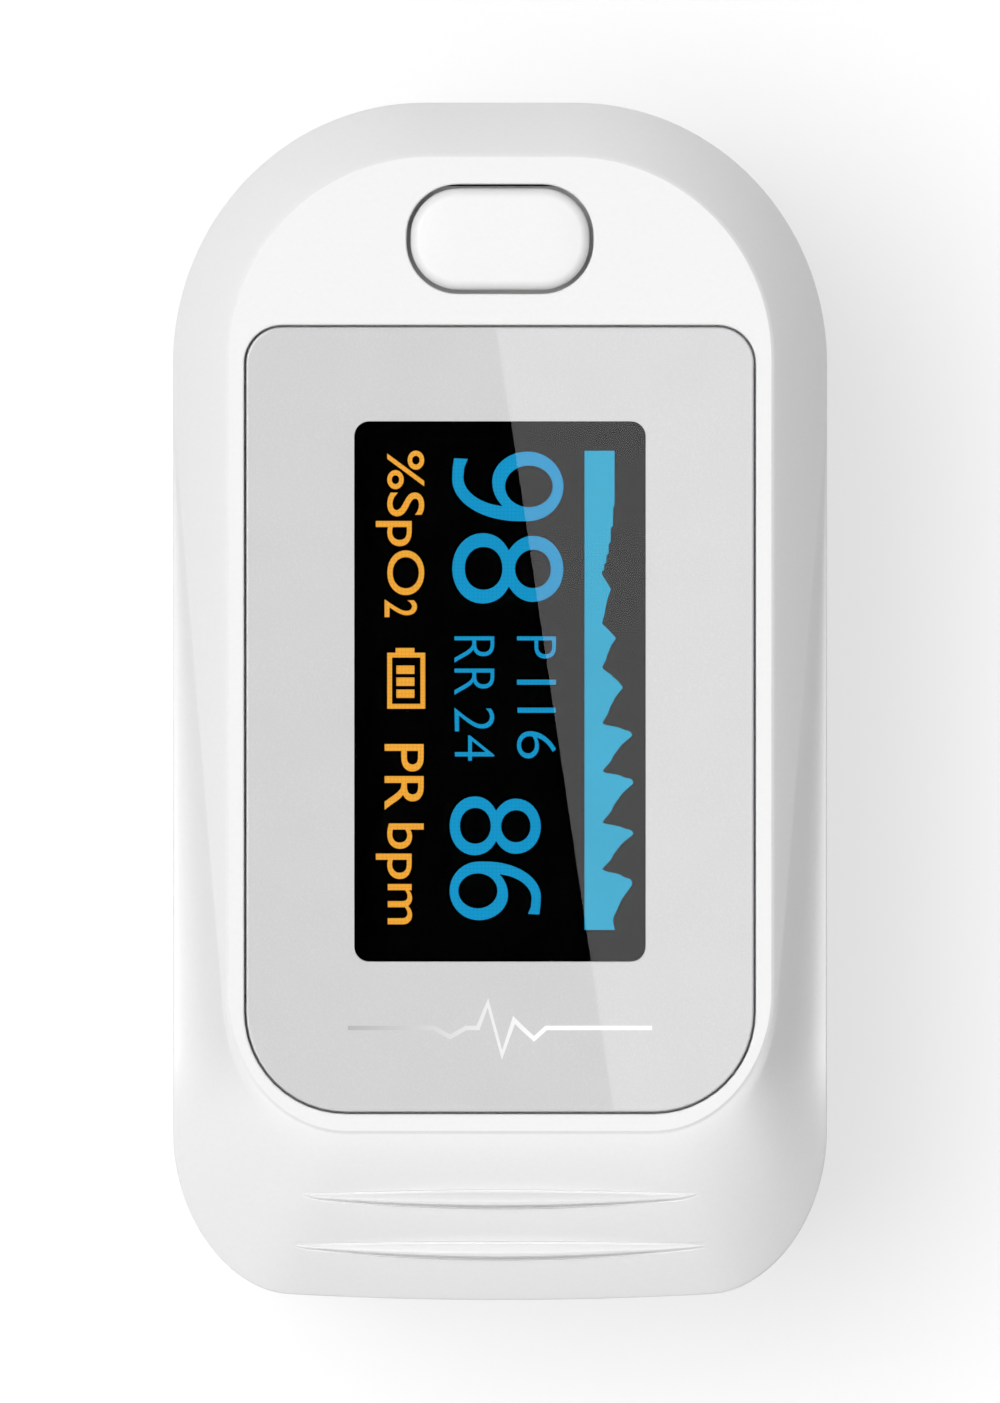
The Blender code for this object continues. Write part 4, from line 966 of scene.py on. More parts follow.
def add_upper_housing(finish):
    """The upper jaw's side walls, the notch's wall at the rear and the round hinge ears."""
    housing = add_object("upper_shell", loft(upper_rows()))
    cut(housing, below_parting(1, UPPER_V_DEG, 18.72))
    cut(housing, soft_mouth(1))
    rings = [level(outline(inset(UPPER, WALL + (EDGE_Z - z) * 0.036)), z) for z in (-3.0, 12.0)]
    room = add_object("tool.upper_room", loft(rings))
    cut(room, sharp_mouth(1, WALL))
    far = radial(UPPER_V_DEG, 26.0, 1)
    wall = WALL / math.cos(math.radians(UPPER_V_DEG))
    floor = [(-11.0, 0.5), (-11.0, -6.0), (far[0], -6.0), (far[0], far[1] + wall)]
    floor += [(HINGE_Y - 5.5, radial(UPPER_V_DEG, 5.5, 1)[1] + wall), (HINGE_Y - 5.5, 0.5)]
    cut(room, side_prism(floor, -20, 20))
    use_tool(housing, "DIFFERENCE", room)
    cut(housing, cylinder_x(HINGE_Y, 0.0, BARREL_OUT + 0.3, -LUG_OUT - 0.25, LUG_OUT + 0.25))
    for side in (-1, 1):
        for y in SCREW_Y:
            x0, x1 = sorted((side * 10.4, side * 15.2))
            join(housing, box(x0, x1, y - 2.2, y + 2.2, 2.35, 3.15))
            cut(housing, cylinder_z(side * SCREW_X, y, 0.95, 2.0, 3.5))
    cut(housing, finger_arch(UPPER_DEPTH, 1))
    for side in (-1, 1):
        corners = [(EAR_R, EAR_IN), (EAR_R, EAR_OUT), (EAR_R - 1.2, EAR_OUT)]
        profile = [(r, side * s) for r, s in rounded_profile(corners, 0.36, 7)]
        join(housing, turned(profile, "X", (0, HINGE_Y, 0), 120))
        x0, x1 = sorted((side * (EAR_IN - 1.0), side * (AXLE_HALF + 0.1)))
        cut(housing, cylinder_x(HINGE_Y, 0.0, AXLE_R + 0.06, x0, x1, 40))
    settle(housing, JAW, [finish], ["upper_housing"], "upper_jaw")


def lower_skin():
    """The lower jaw's outer shape: rounded under, widest low down, drafted to the parting plane."""
    rings = []
    under, rise = 1.7, 2.6
    for k in range(13):
        turn = math.pi / 2 * k / 12
        d, z = under * (1 - math.sin(turn)), rise * (1 - math.cos(turn))
        rings.append(level(outline(inset(LOWER, d)), z))
    for z in (4.7, 6.8, 10.0, 14.0, 17.0, 21.0):
        rings.append(level(outline(inset(LOWER, max(0.0, z - 6.8) * 0.031)), z))
    return rings


def door_outline(rear, top, radius):
    """The door's side outline, as (Y, Z), with its round upper corner at the rear."""
    corner = arc(rear + radius, top - radius, radius, radius, 180, 90, 16)
    return [(40.0, -2.0), (rear, -2.0), *corner, (40.0, top)]


def parting_edge(obj):
    """Rounds the lower jaw's edge along the jaw gap."""
    rings = []
    for spread, drop in [(-0.03, 0.3), *reversed(quarter(0.28)[1:-1]), (0.28, -0.002), (0.28, -2.0)]:
        z = HINGE_Z - HALF_GAP - drop
        draft = max(0.0, z - 6.8) * 0.031
        rings.append((spread + draft, -HALF_GAP - drop))
    outer = [level(outline(inset(LOWER, -2.0)), z) for _, z in (rings[0], rings[-1])]
    inner = [level(outline(inset(LOWER, by)), z) for by, z in rings]
    bm = loft([outer[0], *inner, outer[1]])
    bmesh.ops.delete(bm, geom=[face for face in bm.faces if len(face.verts) > 4], context="FACES_ONLY")
    rows = len(inner) + 2
    count = len(outer[0])
    bm.verts.ensure_lookup_table()
    for k in range(count):
        n = (k + 1) % count
        last = (rows - 1) * count
        bm.faces.new((bm.verts[n], bm.verts[k], bm.verts[last + k], bm.verts[last + n]))
    bmesh.ops.recalc_face_normals(bm, faces=bm.faces)
    front = add_object(f"tool.{obj.name}.rim", moved(bm, JAW))
    shape(front, "INTERSECT", box(-20, 20, HINGE_Y + 3.0, 40, 10, 30))
    use_tool(obj, "DIFFERENCE", front)


def add_lower_housing(finish):
    """The lower jaw: rear foot, battery bay open below, deck, hinge lugs and barrel."""
    housing = add_object("lower_shell", loft(lower_skin()))
    cut(housing, moved(below_parting(-1, LOWER_V_DEG, 18.45), JAW))
    cut(housing, moved(soft_mouth(-1), JAW))
    parting_edge(housing)
    sleeve = add_object(
        "tool.door_room", side_prism(door_outline(DOOR_REAR_Y, DOOR_TOP_Z + 0.09, 2.1), -20, 20)
    )
    cut(sleeve, loft([level(outline(inset(LOWER, DOOR_WALL + FIT)), z) for z in (1.35, 8.0)]))
    use_tool(housing, "DIFFERENCE", sleeve)
    rings = [level(outline(inset(LOWER, WALL + d)), z) for z, d in ((DECK_TOP, 0.19), (26.0, 0.6))]
    room = add_object("tool.lower_room", loft(rings))
    cut(room, moved(sharp_mouth(-1, WALL), JAW))
    wall = WALL / math.cos(math.radians(LOWER_V_DEG))
    start, far = radial(LOWER_V_DEG, 3.0, -1), radial(LOWER_V_DEG, 26.0, -1)
    roof = [(start[0], start[1] - wall), (far[0], far[1] - wall), (far[0], 9.0), (start[0], 9.0)]
    cut(room, moved(side_prism(roof, -20, 20), JAW))
    use_tool(housing, "DIFFERENCE", room)
    cut_battery_bay(housing)
    cut(housing, moved(finger_arch(LOWER_DEPTH, -1), JAW))
    for side in (-1, 1):
        x0, x1 = sorted((side * (EAR_IN - 0.15), side * 20.0))
        cut(housing, moved(cylinder_x(HINGE_Y, 0.0, EAR_R + 0.2, x0, x1, 120), JAW))
        x0, x1 = sorted((side * LUG_IN, side * LUG_OUT))
        join(housing, moved(cylinder_x(HINGE_Y, 0.0, 3.2, x0, x1), JAW))
        join(housing, moved(box(x0, x1, HINGE_Y - 3.1, HINGE_Y + 3.1, -6.2, 0.0), JAW))
    outer = [radial(d, BARREL_OUT, 1) for d in range(-52, 57, 2)]
    inner = [radial(d, BARREL_IN, 1) for d in range(-52, 57, 2)]
    join(housing, moved(side_prism(outer + inner[::-1], -LUG_IN - 0.4, LUG_IN + 0.4), JAW))
    bore = cylinder_x(HINGE_Y, 0.0, AXLE_R + 0.06, -LUG_OUT - 0.1, LUG_OUT + 0.1, 40)
    cut(housing, moved(bore, JAW))
    for x in (-SCREW_X, SCREW_X):
        for y in SCREW_Y:
            join(housing, moved(cylinder_z(x, y, 1.9, -6.0, -2.35), JAW))
            cut(housing, moved(cylinder_z(x, y, 0.8, -5.9, -2.0), JAW))
    settle(housing, LEVEL, [finish], ["lower_housing"], "lower_jaw")


def cut_battery_bay(housing):
    """The bay for two cells, pockets that thin the side walls, and a wire room at the rear."""
    r = 2.4
    plan = [(-BAY_HALF, BAY_REAR), (BAY_HALF, BAY_REAR)]
    plan += arc(BAY_HALF - r, BAY_FRONT - r, r, r, 0, 90, 10)
    plan += arc(r - BAY_HALF, BAY_FRONT - r, r, r, 90, 180, 10)
    cut(housing, prism(plan, 1.15, BAY_TOP))
    cut(housing, prism([(x, max(y, DOOR_REAR_Y + 0.4)) for x, y in plan], -1.0, 2.0))
    for side in (-1, 1):
        for y0 in (-14.5, 1.5):
            x0, x1 = sorted((side * 12.0, side * 13.6))
            cut(housing, box(x0, x1, y0, y0 + 14.0, -1.0, 11.0))
    cut(housing, box(-4.0, 4.0, SENSOR_Y - 5.2, SENSOR_Y + 5.2, BAY_TOP - 1.0, DECK_TOP + 1.0))
    cut(housing, box(-11.5, 11.5, -27.6, BAY_REAR - 1.2, 1.3, 10.2))
    cut(housing, box(-1.2, 1.2, -26.0, BAY_REAR + 1.0, 4.0, 9.0))
    for side in (-1, 1):
        x0, x1 = sorted((side * 4.6, side * 5.8))
        cut(housing, box(x0, x1, -23.25, -20.1, BAY_TOP - 0.5, DECK_TOP + 0.8))
    reach = LATCH_HALF + 0.3
    cut(housing, box(-reach, reach, BAY_FRONT - 1.0, FRONT_Y, 1.0, LATCH_TOP + 0.25))
    for side in (-1, 1):
        x0, x1 = sorted((side * 14.3, side * 15.4))
        cut(housing, box(x0, x1, DOOR_REAR_Y - 0.2, 24.0, 2.9, 4.2))


# ---------------------------------------------------------------- battery door
def scoop_depth(y):
    """The thumb scoop starts flush at the door's rear edge and deepens towards its round wall."""
    return SCOOP_DEPTH * (y - DOOR_REAR_Y) / (SCOOP_Y + SCOOP_R - DOOR_REAR_Y)


def grown(points, by):
    """A polygon with each side moved outwards by this much."""
    made = []
    for k, corner in enumerate(points):
        before, after = points[k - 1], points[(k + 1) % len(points)]
        a = (Vector(corner) - Vector(before)).normalized()
        b = (Vector(after) - Vector(corner)).normalized()
        out_a, out_b = Vector((a.y, -a.x)), Vector((b.y, -b.x))
        made.append(tuple(Vector(corner) + (out_a + out_b) * by / (1 + out_a.dot(out_b))))
    return made


def add_battery_door(finish):
    """A tray that slides off towards the finger end, with a label recess, arrow and thumb grip."""
    door = add_object("door_tray", loft(lower_skin()))
    shape(
        door, "INTERSECT", side_prism(door_outline(DOOR_REAR_Y + FIT, DOOR_TOP_Z, 2.1 - FIT), -20, 20)
    )
    cut(door, loft([level(outline(inset(LOWER, DOOR_WALL)), z) for z in (1.2, 9.0)]))
    for side in (-1, 1):
        x0, x1 = sorted((side * 14.55, side * 15.4))
        join(door, box(x0, x1, -13.5, 12.5, 3.2, 3.9))
    latch = (-LATCH_HALF, LATCH_HALF)
    join(door, box(*latch, DOOR_REAR_Y - 1.6, DOOR_REAR_Y + 2.0, 1.32, LATCH_TOP))
    join(door, box(*latch, DOOR_REAR_Y + 0.6, DOOR_REAR_Y + 2.0, 0.8, LATCH_TOP))
    width, length, mid, depth = LABEL

    def label(grow):
        return rounded_rectangle(width + 2 * grow, length + 2 * grow, 1.2 + grow, mid)

    cut(door, flared(label, 0.0, 0.12, 0.0, depth, -1))
    dish = []
    for k in range(11):
        share = k / 10
        z = -0.01 + 0.13 * share * share * (3 - 2 * share)
        dish.append(level(arc(0, ARROW_MID, 7.6 - 4.0 * share, 5.1 - 1.3 * share, 0, 355, 71), z))
    cut(door, loft([level(arc(0, ARROW_MID, 7.6, 5.1, 0, 355, 71), -1.0), *dish]))
    arrow = [level(grown(ARROW, by), z) for by, z in ((0.0, 0.0), (0.03, 0.01), (0.09, 0.13), (0.09, 0.6))]
    join(door, loft(arrow))
    scoop = arc(0, SCOOP_Y, SCOOP_R, SCOOP_R, 0, 357, 119)
    rings = [[(x * g, SCOOP_Y + (y - SCOOP_Y) * g, z) for x, y in scoop] for g, z in ((1.02, -1.0), (1.02, 0.0))]
    for spread, drop in quarter(0.3, 8)[1:]:
        g = (SCOOP_R - 0.3 + spread) / SCOOP_R
        ring = [(x * g, SCOOP_Y + (y - SCOOP_Y) * g) for x, y in scoop]
        rings.append([(x, y, max(0.004, scoop_depth(y)) * min(1.0, drop / 0.3)) for x, y in ring])
    cut(door, loft(rings))
    for width, y in THUMB_BARS:
        rings = []
        for spread, drop in quarter(0.26, 6):
            ring = rounded_rectangle(width - 2 * spread, 0.9 - 2 * spread, 0.44 - spread, y)
            rings.append(level(ring, drop))
        rings.append(level(rounded_rectangle(width, 0.9, 0.44, y), DOOR_WALL / 2 + 0.2))
        join(door, loft(rings))
    settle(door, LEVEL, [finish], ["battery_door"], "door")


# ---------------------------------------------------------------- hinge, springs and cable
def add_hinge(finishes):
    """The axle, the two springs that pinch the jaws shut, and the cable that crosses the axis."""
    corners = [(0.6, -AXLE_HALF), (AXLE_R, -AXLE_HALF), (AXLE_R, AXLE_HALF), (0.6, AXLE_HALF)]
    axle = add_object("axle_pin", turned(rounded_profile(corners, 0.25), "X", (0, HINGE_Y, 0), 48))
    settle(axle, JAW, [finishes["steel"]], ["hinge_axle"], "lower_jaw")
    for side, name in ((-1, "left"), (1, "right")):
        spring = add_object(f"jaw_spring_{name}", tube(spring_path(side), 0.3))
        blended(spring, finishes["steel"], f"torsion_spring_{name}")
    cable = [(5.0, -5.36), (-6.6, -5.18), (-8.6, -4.95), (-9.5, -4.2), (-9.9, -2.6), (-10.1, 0.0)]
    cable += [(-9.9, 2.6), (-9.6, 4.6), (-9.3, 6.4), (-9.2, 7.5)]
    strip = ribbon(flowing(cable, 12), 0.2)
    rings = [[(x, y, z) for y, z in strip] for x in ladder(3.2, 16)]
    blended(add_object("jaw_cable", loft(rings)), finishes["flex"], "hinge_flex_cable")


def blended(obj, finish, node):
    """Makes a piece that lies between the jaws final: metres from the jaw frame, smooth shading and its finish."""
    obj.data.transform(Matrix.Scale(MM, 4) @ JAW)
    obj.data.shade_smooth()
    obj.data.set_sharp_from_angle(angle=math.radians(40))
    obj.data.materials.append(finish)
    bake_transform(obj)
    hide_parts(node)


def spring_path(side):
    """A torsion spring: legs that reach forward below and above the cradles, and its coil."""
    radius, turns, pitch, start, per_turn = 1.75, 4, 0.85, 5.6, 40
    leg = ((HINGE_Y + 6.0, 1.68), (HINGE_Y + 4.5, 1.72), (HINGE_Y + 3.0, 1.77), (HINGE_Y + 1.0, 1.76))
    points = [(side * start, y, -z) for y, z in leg]
    for k in range(turns * per_turn + per_turn // 2 + 1):
        angle = -math.pi / 2 - 2 * math.pi * k / per_turn
        x = start + pitch * k / per_turn
        points.append((side * x, HINGE_Y + radius * math.cos(angle), radius * math.sin(angle)))
    end = start + pitch * (turns + 0.5)
    return points + [(side * end, y, z) for y, z in reversed(leg)]


def flowing(path, steps):
    """A smooth curve through the points of a path."""
    points = []
    for k in range(len(path) - 1):
        p0, p1, p2, p3 = (path[min(max(k + j, 0), len(path) - 1)] for j in (-1, 0, 1, 2))
        for n in range(steps):
            t = n / steps
            spot = []
            for a, b, c, d in zip(p0, p1, p2, p3):
                spot.append(0.5 * (2 * b + (c - a) * t + (2 * a - 5 * b + 4 * c - d) * t * t + (3 * b - a - 3 * c + d) * t**3))
            points.append(tuple(spot))
    return [*points, path[-1]]


def ribbon(path, thick):
    """The closed (Y, Z) outline of a thin strip that follows a path."""
    sides = ([], [])
    for k, point in enumerate(path):
        before, after = path[max(k - 1, 0)], path[min(k + 1, len(path) - 1)]
        run = Vector((after[0] - before[0], after[1] - before[1])).normalized()
        for side, sign in zip(sides, (-0.5, 0.5)):
            side.append((point[0] - run.y * thick * sign, point[1] + run.x * thick * sign))
    return sides[0] + sides[1][::-1]


# ---------------------------------------------------------------- screws and cells
def add_screw(name, x, y, z, sign, length, finish, body, head, shank):
    """A small self-tapping screw with a cross recess. Its head faces against the sign."""
    corners = [(0.05, 0.0), (head * 0.7, 0.02), (head, 0.3), (head, 0.85), (shank, 0.85), (shank, 1.1)]
    turns = int((length - 1.7) / 0.5)
    for k in range(turns):
        low = 1.1 + 0.5 * k
        corners += [(shank * 0.78, low + 0.12), (shank, low + 0.3), (shank * 0.8, low + 0.48)]
    corners += [(shank * 0.7, length - 0.5), (shank * 0.25, length)]
    bm = turned([(r, z + sign * s) for r, s in corners], "Z", (x, y, 0), 36)
    screw = add_object(f"{name}.threaded", bm)
    low, high = sorted((z - sign * 0.5, z + sign * 0.45))
    cut(screw, box(x - 0.85, x + 0.85, y - 0.17, y + 0.17, low, high))
    cut(screw, box(x - 0.17, x + 0.17, y - 0.85, y + 0.85, low, high))
    settle(screw, JAW, [finish], [name], body)


def add_screws(finish):
    number = 0
    for x in (-SCREW_X, SCREW_X):
        for y in SCREW_Y:
            number += 1
            add_screw(f"upper_jaw_screw_{number}", x, y, 0.3, 1, 7.5, finish, "upper_jaw", 1.5, 0.7)
            add_screw(f"lower_jaw_screw_{number}", x, y, -0.3, -1, 5.2, finish, "lower_jaw", 1.5, 0.7)
    for number, (x, y) in enumerate(BOARD_SCREWS, 1):
        add_screw(f"board_screw_{number}", x, y, 7.2, 1, 3.4, finish, "upper_jaw", 1.3, 0.5)


def add_cells(sleeve, metal):
    """Two cells lying head to tail: a printed sleeve, crimped steel ends and a round nub."""
    cell_r, cell_x, cell_z = 5.25, 5.35, 6.7
    for side, name, low in ((-1, "left", -19.2), (1, "right", 21.6)):
        corners = [(0.3, 0.12), (3.4, 0.12), (3.7, 0.0), (4.55, 0.0), (4.75, 0.16), (cell_r, 0.16)]
        corners += [(cell_r, 43.3), (4.7, 43.3), (4.5, 43.46), (2.4, 43.46), (1.95, 43.5), (1.9, 44.3), (0.3, 44.3)]
        profile = [(r, low - side * s) for r, s in rounded_profile(corners, 0.22, 4)]
        cell = add_object(f"cell_{name}", turned(profile, "Y", (side * cell_x, 0, cell_z), 96))
        settle(cell, LEVEL, [sleeve, metal], [f"battery_{name}"], "lower_jaw")
        middle = Vector((side * cell_x, 0, cell_z)) * MM
        for face in cell.data.polygons:
            spot = face.center - middle
            face.material_index = int(math.hypot(spot.x, spot.z) < 4.72 * MM)
        coil = add_object(f"cell_spring_{name}", tube(cone_spring(side, low, -side), 0.28))
        nodes = [f"battery_spring_{name}"]
        settle(coil, LEVEL, [metal], nodes, "lower_jaw")


def cone_spring(side, low, way):
    """A coil that narrows from its contact plate to the cell's flat end."""
    turns, per_turn, wide, narrow = 3, 40, 3.4, 1.7
    base = {-1: BAY_REAR + 0.85, 1: 24.85}[side]
    tip = low - way * 0.4
    points = []
    for k in range(turns * per_turn + 1):
        share = k / (turns * per_turn)
        radius = wide + (narrow - wide) * share
        angle = 2 * math.pi * k / per_turn
        x = side * 5.35 + radius * math.cos(angle)
        points.append((x, base + (tip - base) * share, 6.7 + radius * math.sin(angle)))
    return points


# ---------------------------------------------------------------- materials
class Surface:
    """A material of nodes over the object's own coordinates. Sizes and depths are in millimetres."""

    def __init__(self, name, rough, rough_spread=0.04, wave=5.0, **sockets):
        self.material = bpy.data.materials.new(name)
        self.material.use_nodes = True
        self.tree = self.material.node_tree
        self.shader = self.tree.nodes["Principled BSDF"]
        self.place = self.tree.nodes.new("ShaderNodeTexCoord").outputs["Object"]
        for socket, value in sockets.items():
            self.shader.inputs[socket.replace("_", " ")].default_value = value
        self.broad = self.noise(wave)
        self.link(self.spread(self.broad, rough - rough_spread, rough + rough_spread), "Roughness")

    def node(self, kind, values=(), **settings):
        made = self.tree.nodes.new("ShaderNode" + kind)
        for key, value in settings.items():
            setattr(made, key, value)
        for key, value in dict(values).items():
            if hasattr(value, "is_linked"):
                self.tree.links.new(value, made.inputs[key])
            else:
                made.inputs[key].default_value = value
        return made

    def link(self, source, socket):
        self.tree.links.new(source, self.shader.inputs[socket])

    def scaled(self, x, y, z):
        """The place, stretched by a factor on each axis."""
        values = {0: self.place, 1: (x, y, z)}
        return self.node("VectorMath", values, operation="MULTIPLY").outputs[0]

    def noise(self, size, detail=2.0, place=None):
        values = {"Vector": place or self.place, "Scale": 1 / (size * MM), "Detail": detail}
        return self.node("TexNoise", values).outputs[0]

    def cells(self, size, feature="F1"):
        values = {"Vector": self.place, "Scale": 1 / (size * MM)}
        return self.node("TexVoronoi", values, feature=feature).outputs[0]

    def axis(self, name):
        return self.node("SeparateXYZ", {0: self.place}).outputs[name]

    def maths(self, operation, a, b=0.0):
        return self.node("Math", {0: a, 1: b}, operation=operation).outputs[0]

    def stripes(self, axis, pitch, share):
        """1 in stripes across an axis, and 0 between them."""
        turns = self.maths("FRACT", self.maths("MULTIPLY", self.axis(axis), 1 / (pitch * MM)))
        return self.maths("LESS_THAN", self.maths("ABSOLUTE", turns), share)

    def spread(self, source, low, high, start=0.25, end=0.75):
        values = {"Value": source, "From Min": start, "From Max": end, "To Min": low, "To Max": high}
        return self.node("MapRange", values).outputs[0]

    def mix(self, factor, a, b):
        made = self.node("Mix", {0: factor}, data_type="RGBA")
        for index, value in ((6, a), (7, b)):
            if hasattr(value, "is_linked"):
                self.tree.links.new(value, made.inputs[index])
            else:
                made.inputs[index].default_value = (*value, 1.0)
        return made.outputs[2]

    def tint(self, colour, share, source=None):
        """A colour that varies by this share."""
        low, high = ([max(0.0, c * (1 + s * share)) for c in colour] for s in (-1, 1))
        return self.mix(self.spread(source or self.broad, 0.0, 1.0), low, high)

    def paint(self, colour):
        self.link(colour, "Base Color")

    def bump(self, height, depth):
        values = {"Height": height, "Distance": depth * MM, "Strength": 1.0}
        linked = self.shader.inputs["Normal"].links
        if linked:
            values["Normal"] = linked[0].from_socket
        self.link(self.node("Bump", values).outputs[0], "Normal")


def moulded(name, colour, rough, grain=0.22, depth=0.0022, share=0.012, **sockets):
    """Injection-moulded plastic: a fine spark-eroded grain over a slight waviness."""
    made = Surface(name, rough, **sockets)
    speckle = made.noise(grain, 3.0)
    made.paint(made.tint(colour, share, speckle))
    made.bump(made.noise(7.0, 1.0), 0.012)
    made.bump(speckle, depth)
    return made


def metal(name, colour, rough, along, **sockets):
    """Bright metal with fine drawn lines along one axis."""
    made = Surface(name, rough, 0.07, Metallic=1.0, **sockets)
    lines = made.noise(0.12, 2.0, made.scaled(*(0.06 if axis == along else 1.0 for axis in "XYZ")))
    made.paint(made.mix(lines, [c * 0.86 for c in colour], colour))
    made.bump(lines, 0.004)
    return made


def lit(name, colour, strength):
    """A lit area of the display, with the faint grid of its picture dots."""
    made = Surface(name, 0.4, Emission_Strength=strength, Specular_IOR_Level=0.0)
    dots = made.maths("MAXIMUM", made.stripes("X", 0.19, 0.14), made.stripes("Y", 0.19, 0.14))
    glow = made.mix(dots, made.tint(colour, 0.05), [c * 0.82 for c in colour])
    made.paint(made.tint([c * 0.02 for c in colour], 0.1))
    made.link(glow, "Emission Color")
    return made


def make_finishes():
    made = {
        "cover": moulded("satin_white_cover", (0.82, 0.82, 0.817), 0.34, Specular_IOR_Level=0.3),
        "button": moulded("satin_white_key", (0.83, 0.83, 0.827), 0.33, 0.18, Specular_IOR_Level=0.3),
        "shell": moulded("satin_white_shell", (0.81, 0.81, 0.807), 0.37, Specular_IOR_Level=0.3),
        "cradle": moulded("dark_grey_cradle", (0.085, 0.086, 0.09), 0.48, 0.3, 0.008, 0.08),
        "socket": moulded("socket_plastic", (0.62, 0.58, 0.48), 0.45, 0.2, 0.004, 0.05),
        "chip": moulded("chip_epoxy", (0.028, 0.028, 0.03), 0.5, 0.12, 0.006, 0.2),
        "insulation": moulded("red_insulation", (0.42, 0.03, 0.025), 0.42, 0.15, 0.003, 0.08),
        "steel": metal("drawn_steel", (0.62, 0.61, 0.59), 0.27, "X"),
        "nickel": metal("nickel_plate", (0.71, 0.68, 0.62), 0.24, "Z"),
        "units": lit("readout_orange", (0.93, 0.42, 0.047), 1.0),
        "values": lit("readout_blue", (0.0097, 0.32, 0.62), 1.0),
        "wave": lit("readout_pale_blue", (0.005, 0.39, 0.62), 1.0),
    }
    rubber = Surface("silicone_rubber", 0.62, 0.06, Sheen_Weight=0.15, Sheen_Roughness=0.4)
    rubber.paint(rubber.tint((0.042, 0.043, 0.047), 0.15))
    rubber.bump(rubber.cells(0.32), 0.012)
    rubber.bump(rubber.noise(0.09, 3.0), 0.004)
    foam = Surface("black_foam", 0.92, 0.05, 1.2)
    foam.paint(foam.mix(foam.cells(0.22), (0.012, 0.012, 0.013), (0.05, 0.05, 0.052)))
    foam.bump(foam.cells(0.22), 0.09)
    silver = Surface("silver_back_paint", 0.42, 0.05, 3.0, Coat_Weight=1.0, Coat_Roughness=0.012)
    flakes = silver.cells(0.09)
    silver.paint(silver.mix(flakes, (0.545, 0.545, 0.55), (0.595, 0.595, 0.6)))
    glass = Surface("clear_window_pane", 0.004, 0.003, Transmission_Weight=1.0, IOR=1.33)
    glass.paint(glass.tint((0.98, 0.98, 0.985), 0.01))
    panel = Surface("black_display_glass", 0.3, 0.05, Specular_IOR_Level=0.0)
    panel.paint(panel.tint((0.0009, 0.0009, 0.001), 0.3, panel.noise(0.2)))
    pane = Surface("sensor_pane_red", 0.08, 0.03, Coat_Weight=0.6, Coat_Roughness=0.05)
    pane.paint(pane.tint((0.16, 0.012, 0.012), 0.2))
    pane.bump(pane.noise(2.0), 0.01)
    board = Surface("solder_mask_green", 0.33, 0.06, Coat_Weight=0.4, Coat_Roughness=0.1)
    tracks = board.maths("LESS_THAN", board.cells(2.3, "DISTANCE_TO_EDGE"), 0.045)
    pads = board.maths("LESS_THAN", board.cells(1.7), 0.16)
    mask = board.mix(tracks, board.tint((0.012, 0.13, 0.055), 0.2), (0.03, 0.24, 0.09))
    board.paint(board.mix(pads, mask, (0.62, 0.60, 0.54)))
    board.bump(board.maths("MAXIMUM", tracks, pads), 0.02)
    flex = Surface("amber_polyimide", 0.3, 0.05, 3.0, Coat_Weight=0.5, Coat_Roughness=0.12)
    lanes = flex.stripes("X", 0.5, 0.55)
    flex.paint(flex.mix(lanes, flex.tint((0.30, 0.13, 0.02), 0.1), flex.tint((0.62, 0.28, 0.07), 0.1)))
    flex.bump(lanes, 0.012)
    sleeve = Surface("cell_sleeve", 0.3, 0.05, 4.0, Coat_Weight=0.5, Coat_Roughness=0.08)
    bands = sleeve.stripes("Y", 11.0, 0.16)
    blue = sleeve.tint((0.03, 0.10, 0.26), 0.08)
    sleeve.paint(sleeve.mix(bands, blue, sleeve.tint((0.55, 0.56, 0.58), 0.05)))
    sleeve.bump(sleeve.noise(9.0), 0.03)
    mark = Surface("printed_pulse", 0.35, 0.05)
    # The line is darker grey towards -X and near white towards +X.
    along = mark.spread(mark.axis("X"), 0.0, 1.0, -8 * MM, 3 * MM)
    mark.paint(mark.mix(along, (0.36, 0.36, 0.37), (0.93, 0.93, 0.93)))
    made.update(rubber=rubber, foam=foam, silver=silver, glass=glass, panel=panel, pane=pane)
    made.update(board=board, flex=flex, sleeve=sleeve, mark=mark)
    return {name: surface.material for name, surface in made.items()}


# Finish of each CAD node that keeps its own shape.
CARRIED = {
    "board": ("main_pcb", "emitter_board", "detector_board"),
    "chip": ("microcontroller_chip", "buzzer", "switch_body"),
    "nickel": ("crystal_can", "contact_bridge_front", "contact_plate_negative", "contact_plate_positive"),
    "socket": ("display_connector", "cable_connector"),
    "flex": ("display_flex_tail", "emitter_flex"),
    "foam": ("lens_gasket", "display_foam_pad"),
    "panel": ("oled_panel",),
    "button": ("switch_plunger",),
    "pane": ("emitter_led", "photodiode"),
    "insulation": ("battery_lead_negative", "battery_lead_positive"),
}


def finish_carried(finishes):
    """Gives each carried-over CAD node its finish and slightly broken edges."""
    for finish, names in CARRIED.items():
        for name in names:
            node = NODES[name]
            if not node.material_slots:
                node.data.materials.append(finishes[finish])
            for place in node.material_slots:
                place.link = "OBJECT"
                place.material = finishes[finish]
            if finish not in ("insulation", "panel"):
                bevel = node.modifiers.new("broken_edges", "BEVEL")
                bevel.width = 0.06 * MM
                bevel.segments = 2
                bevel.limit_method = "ANGLE"


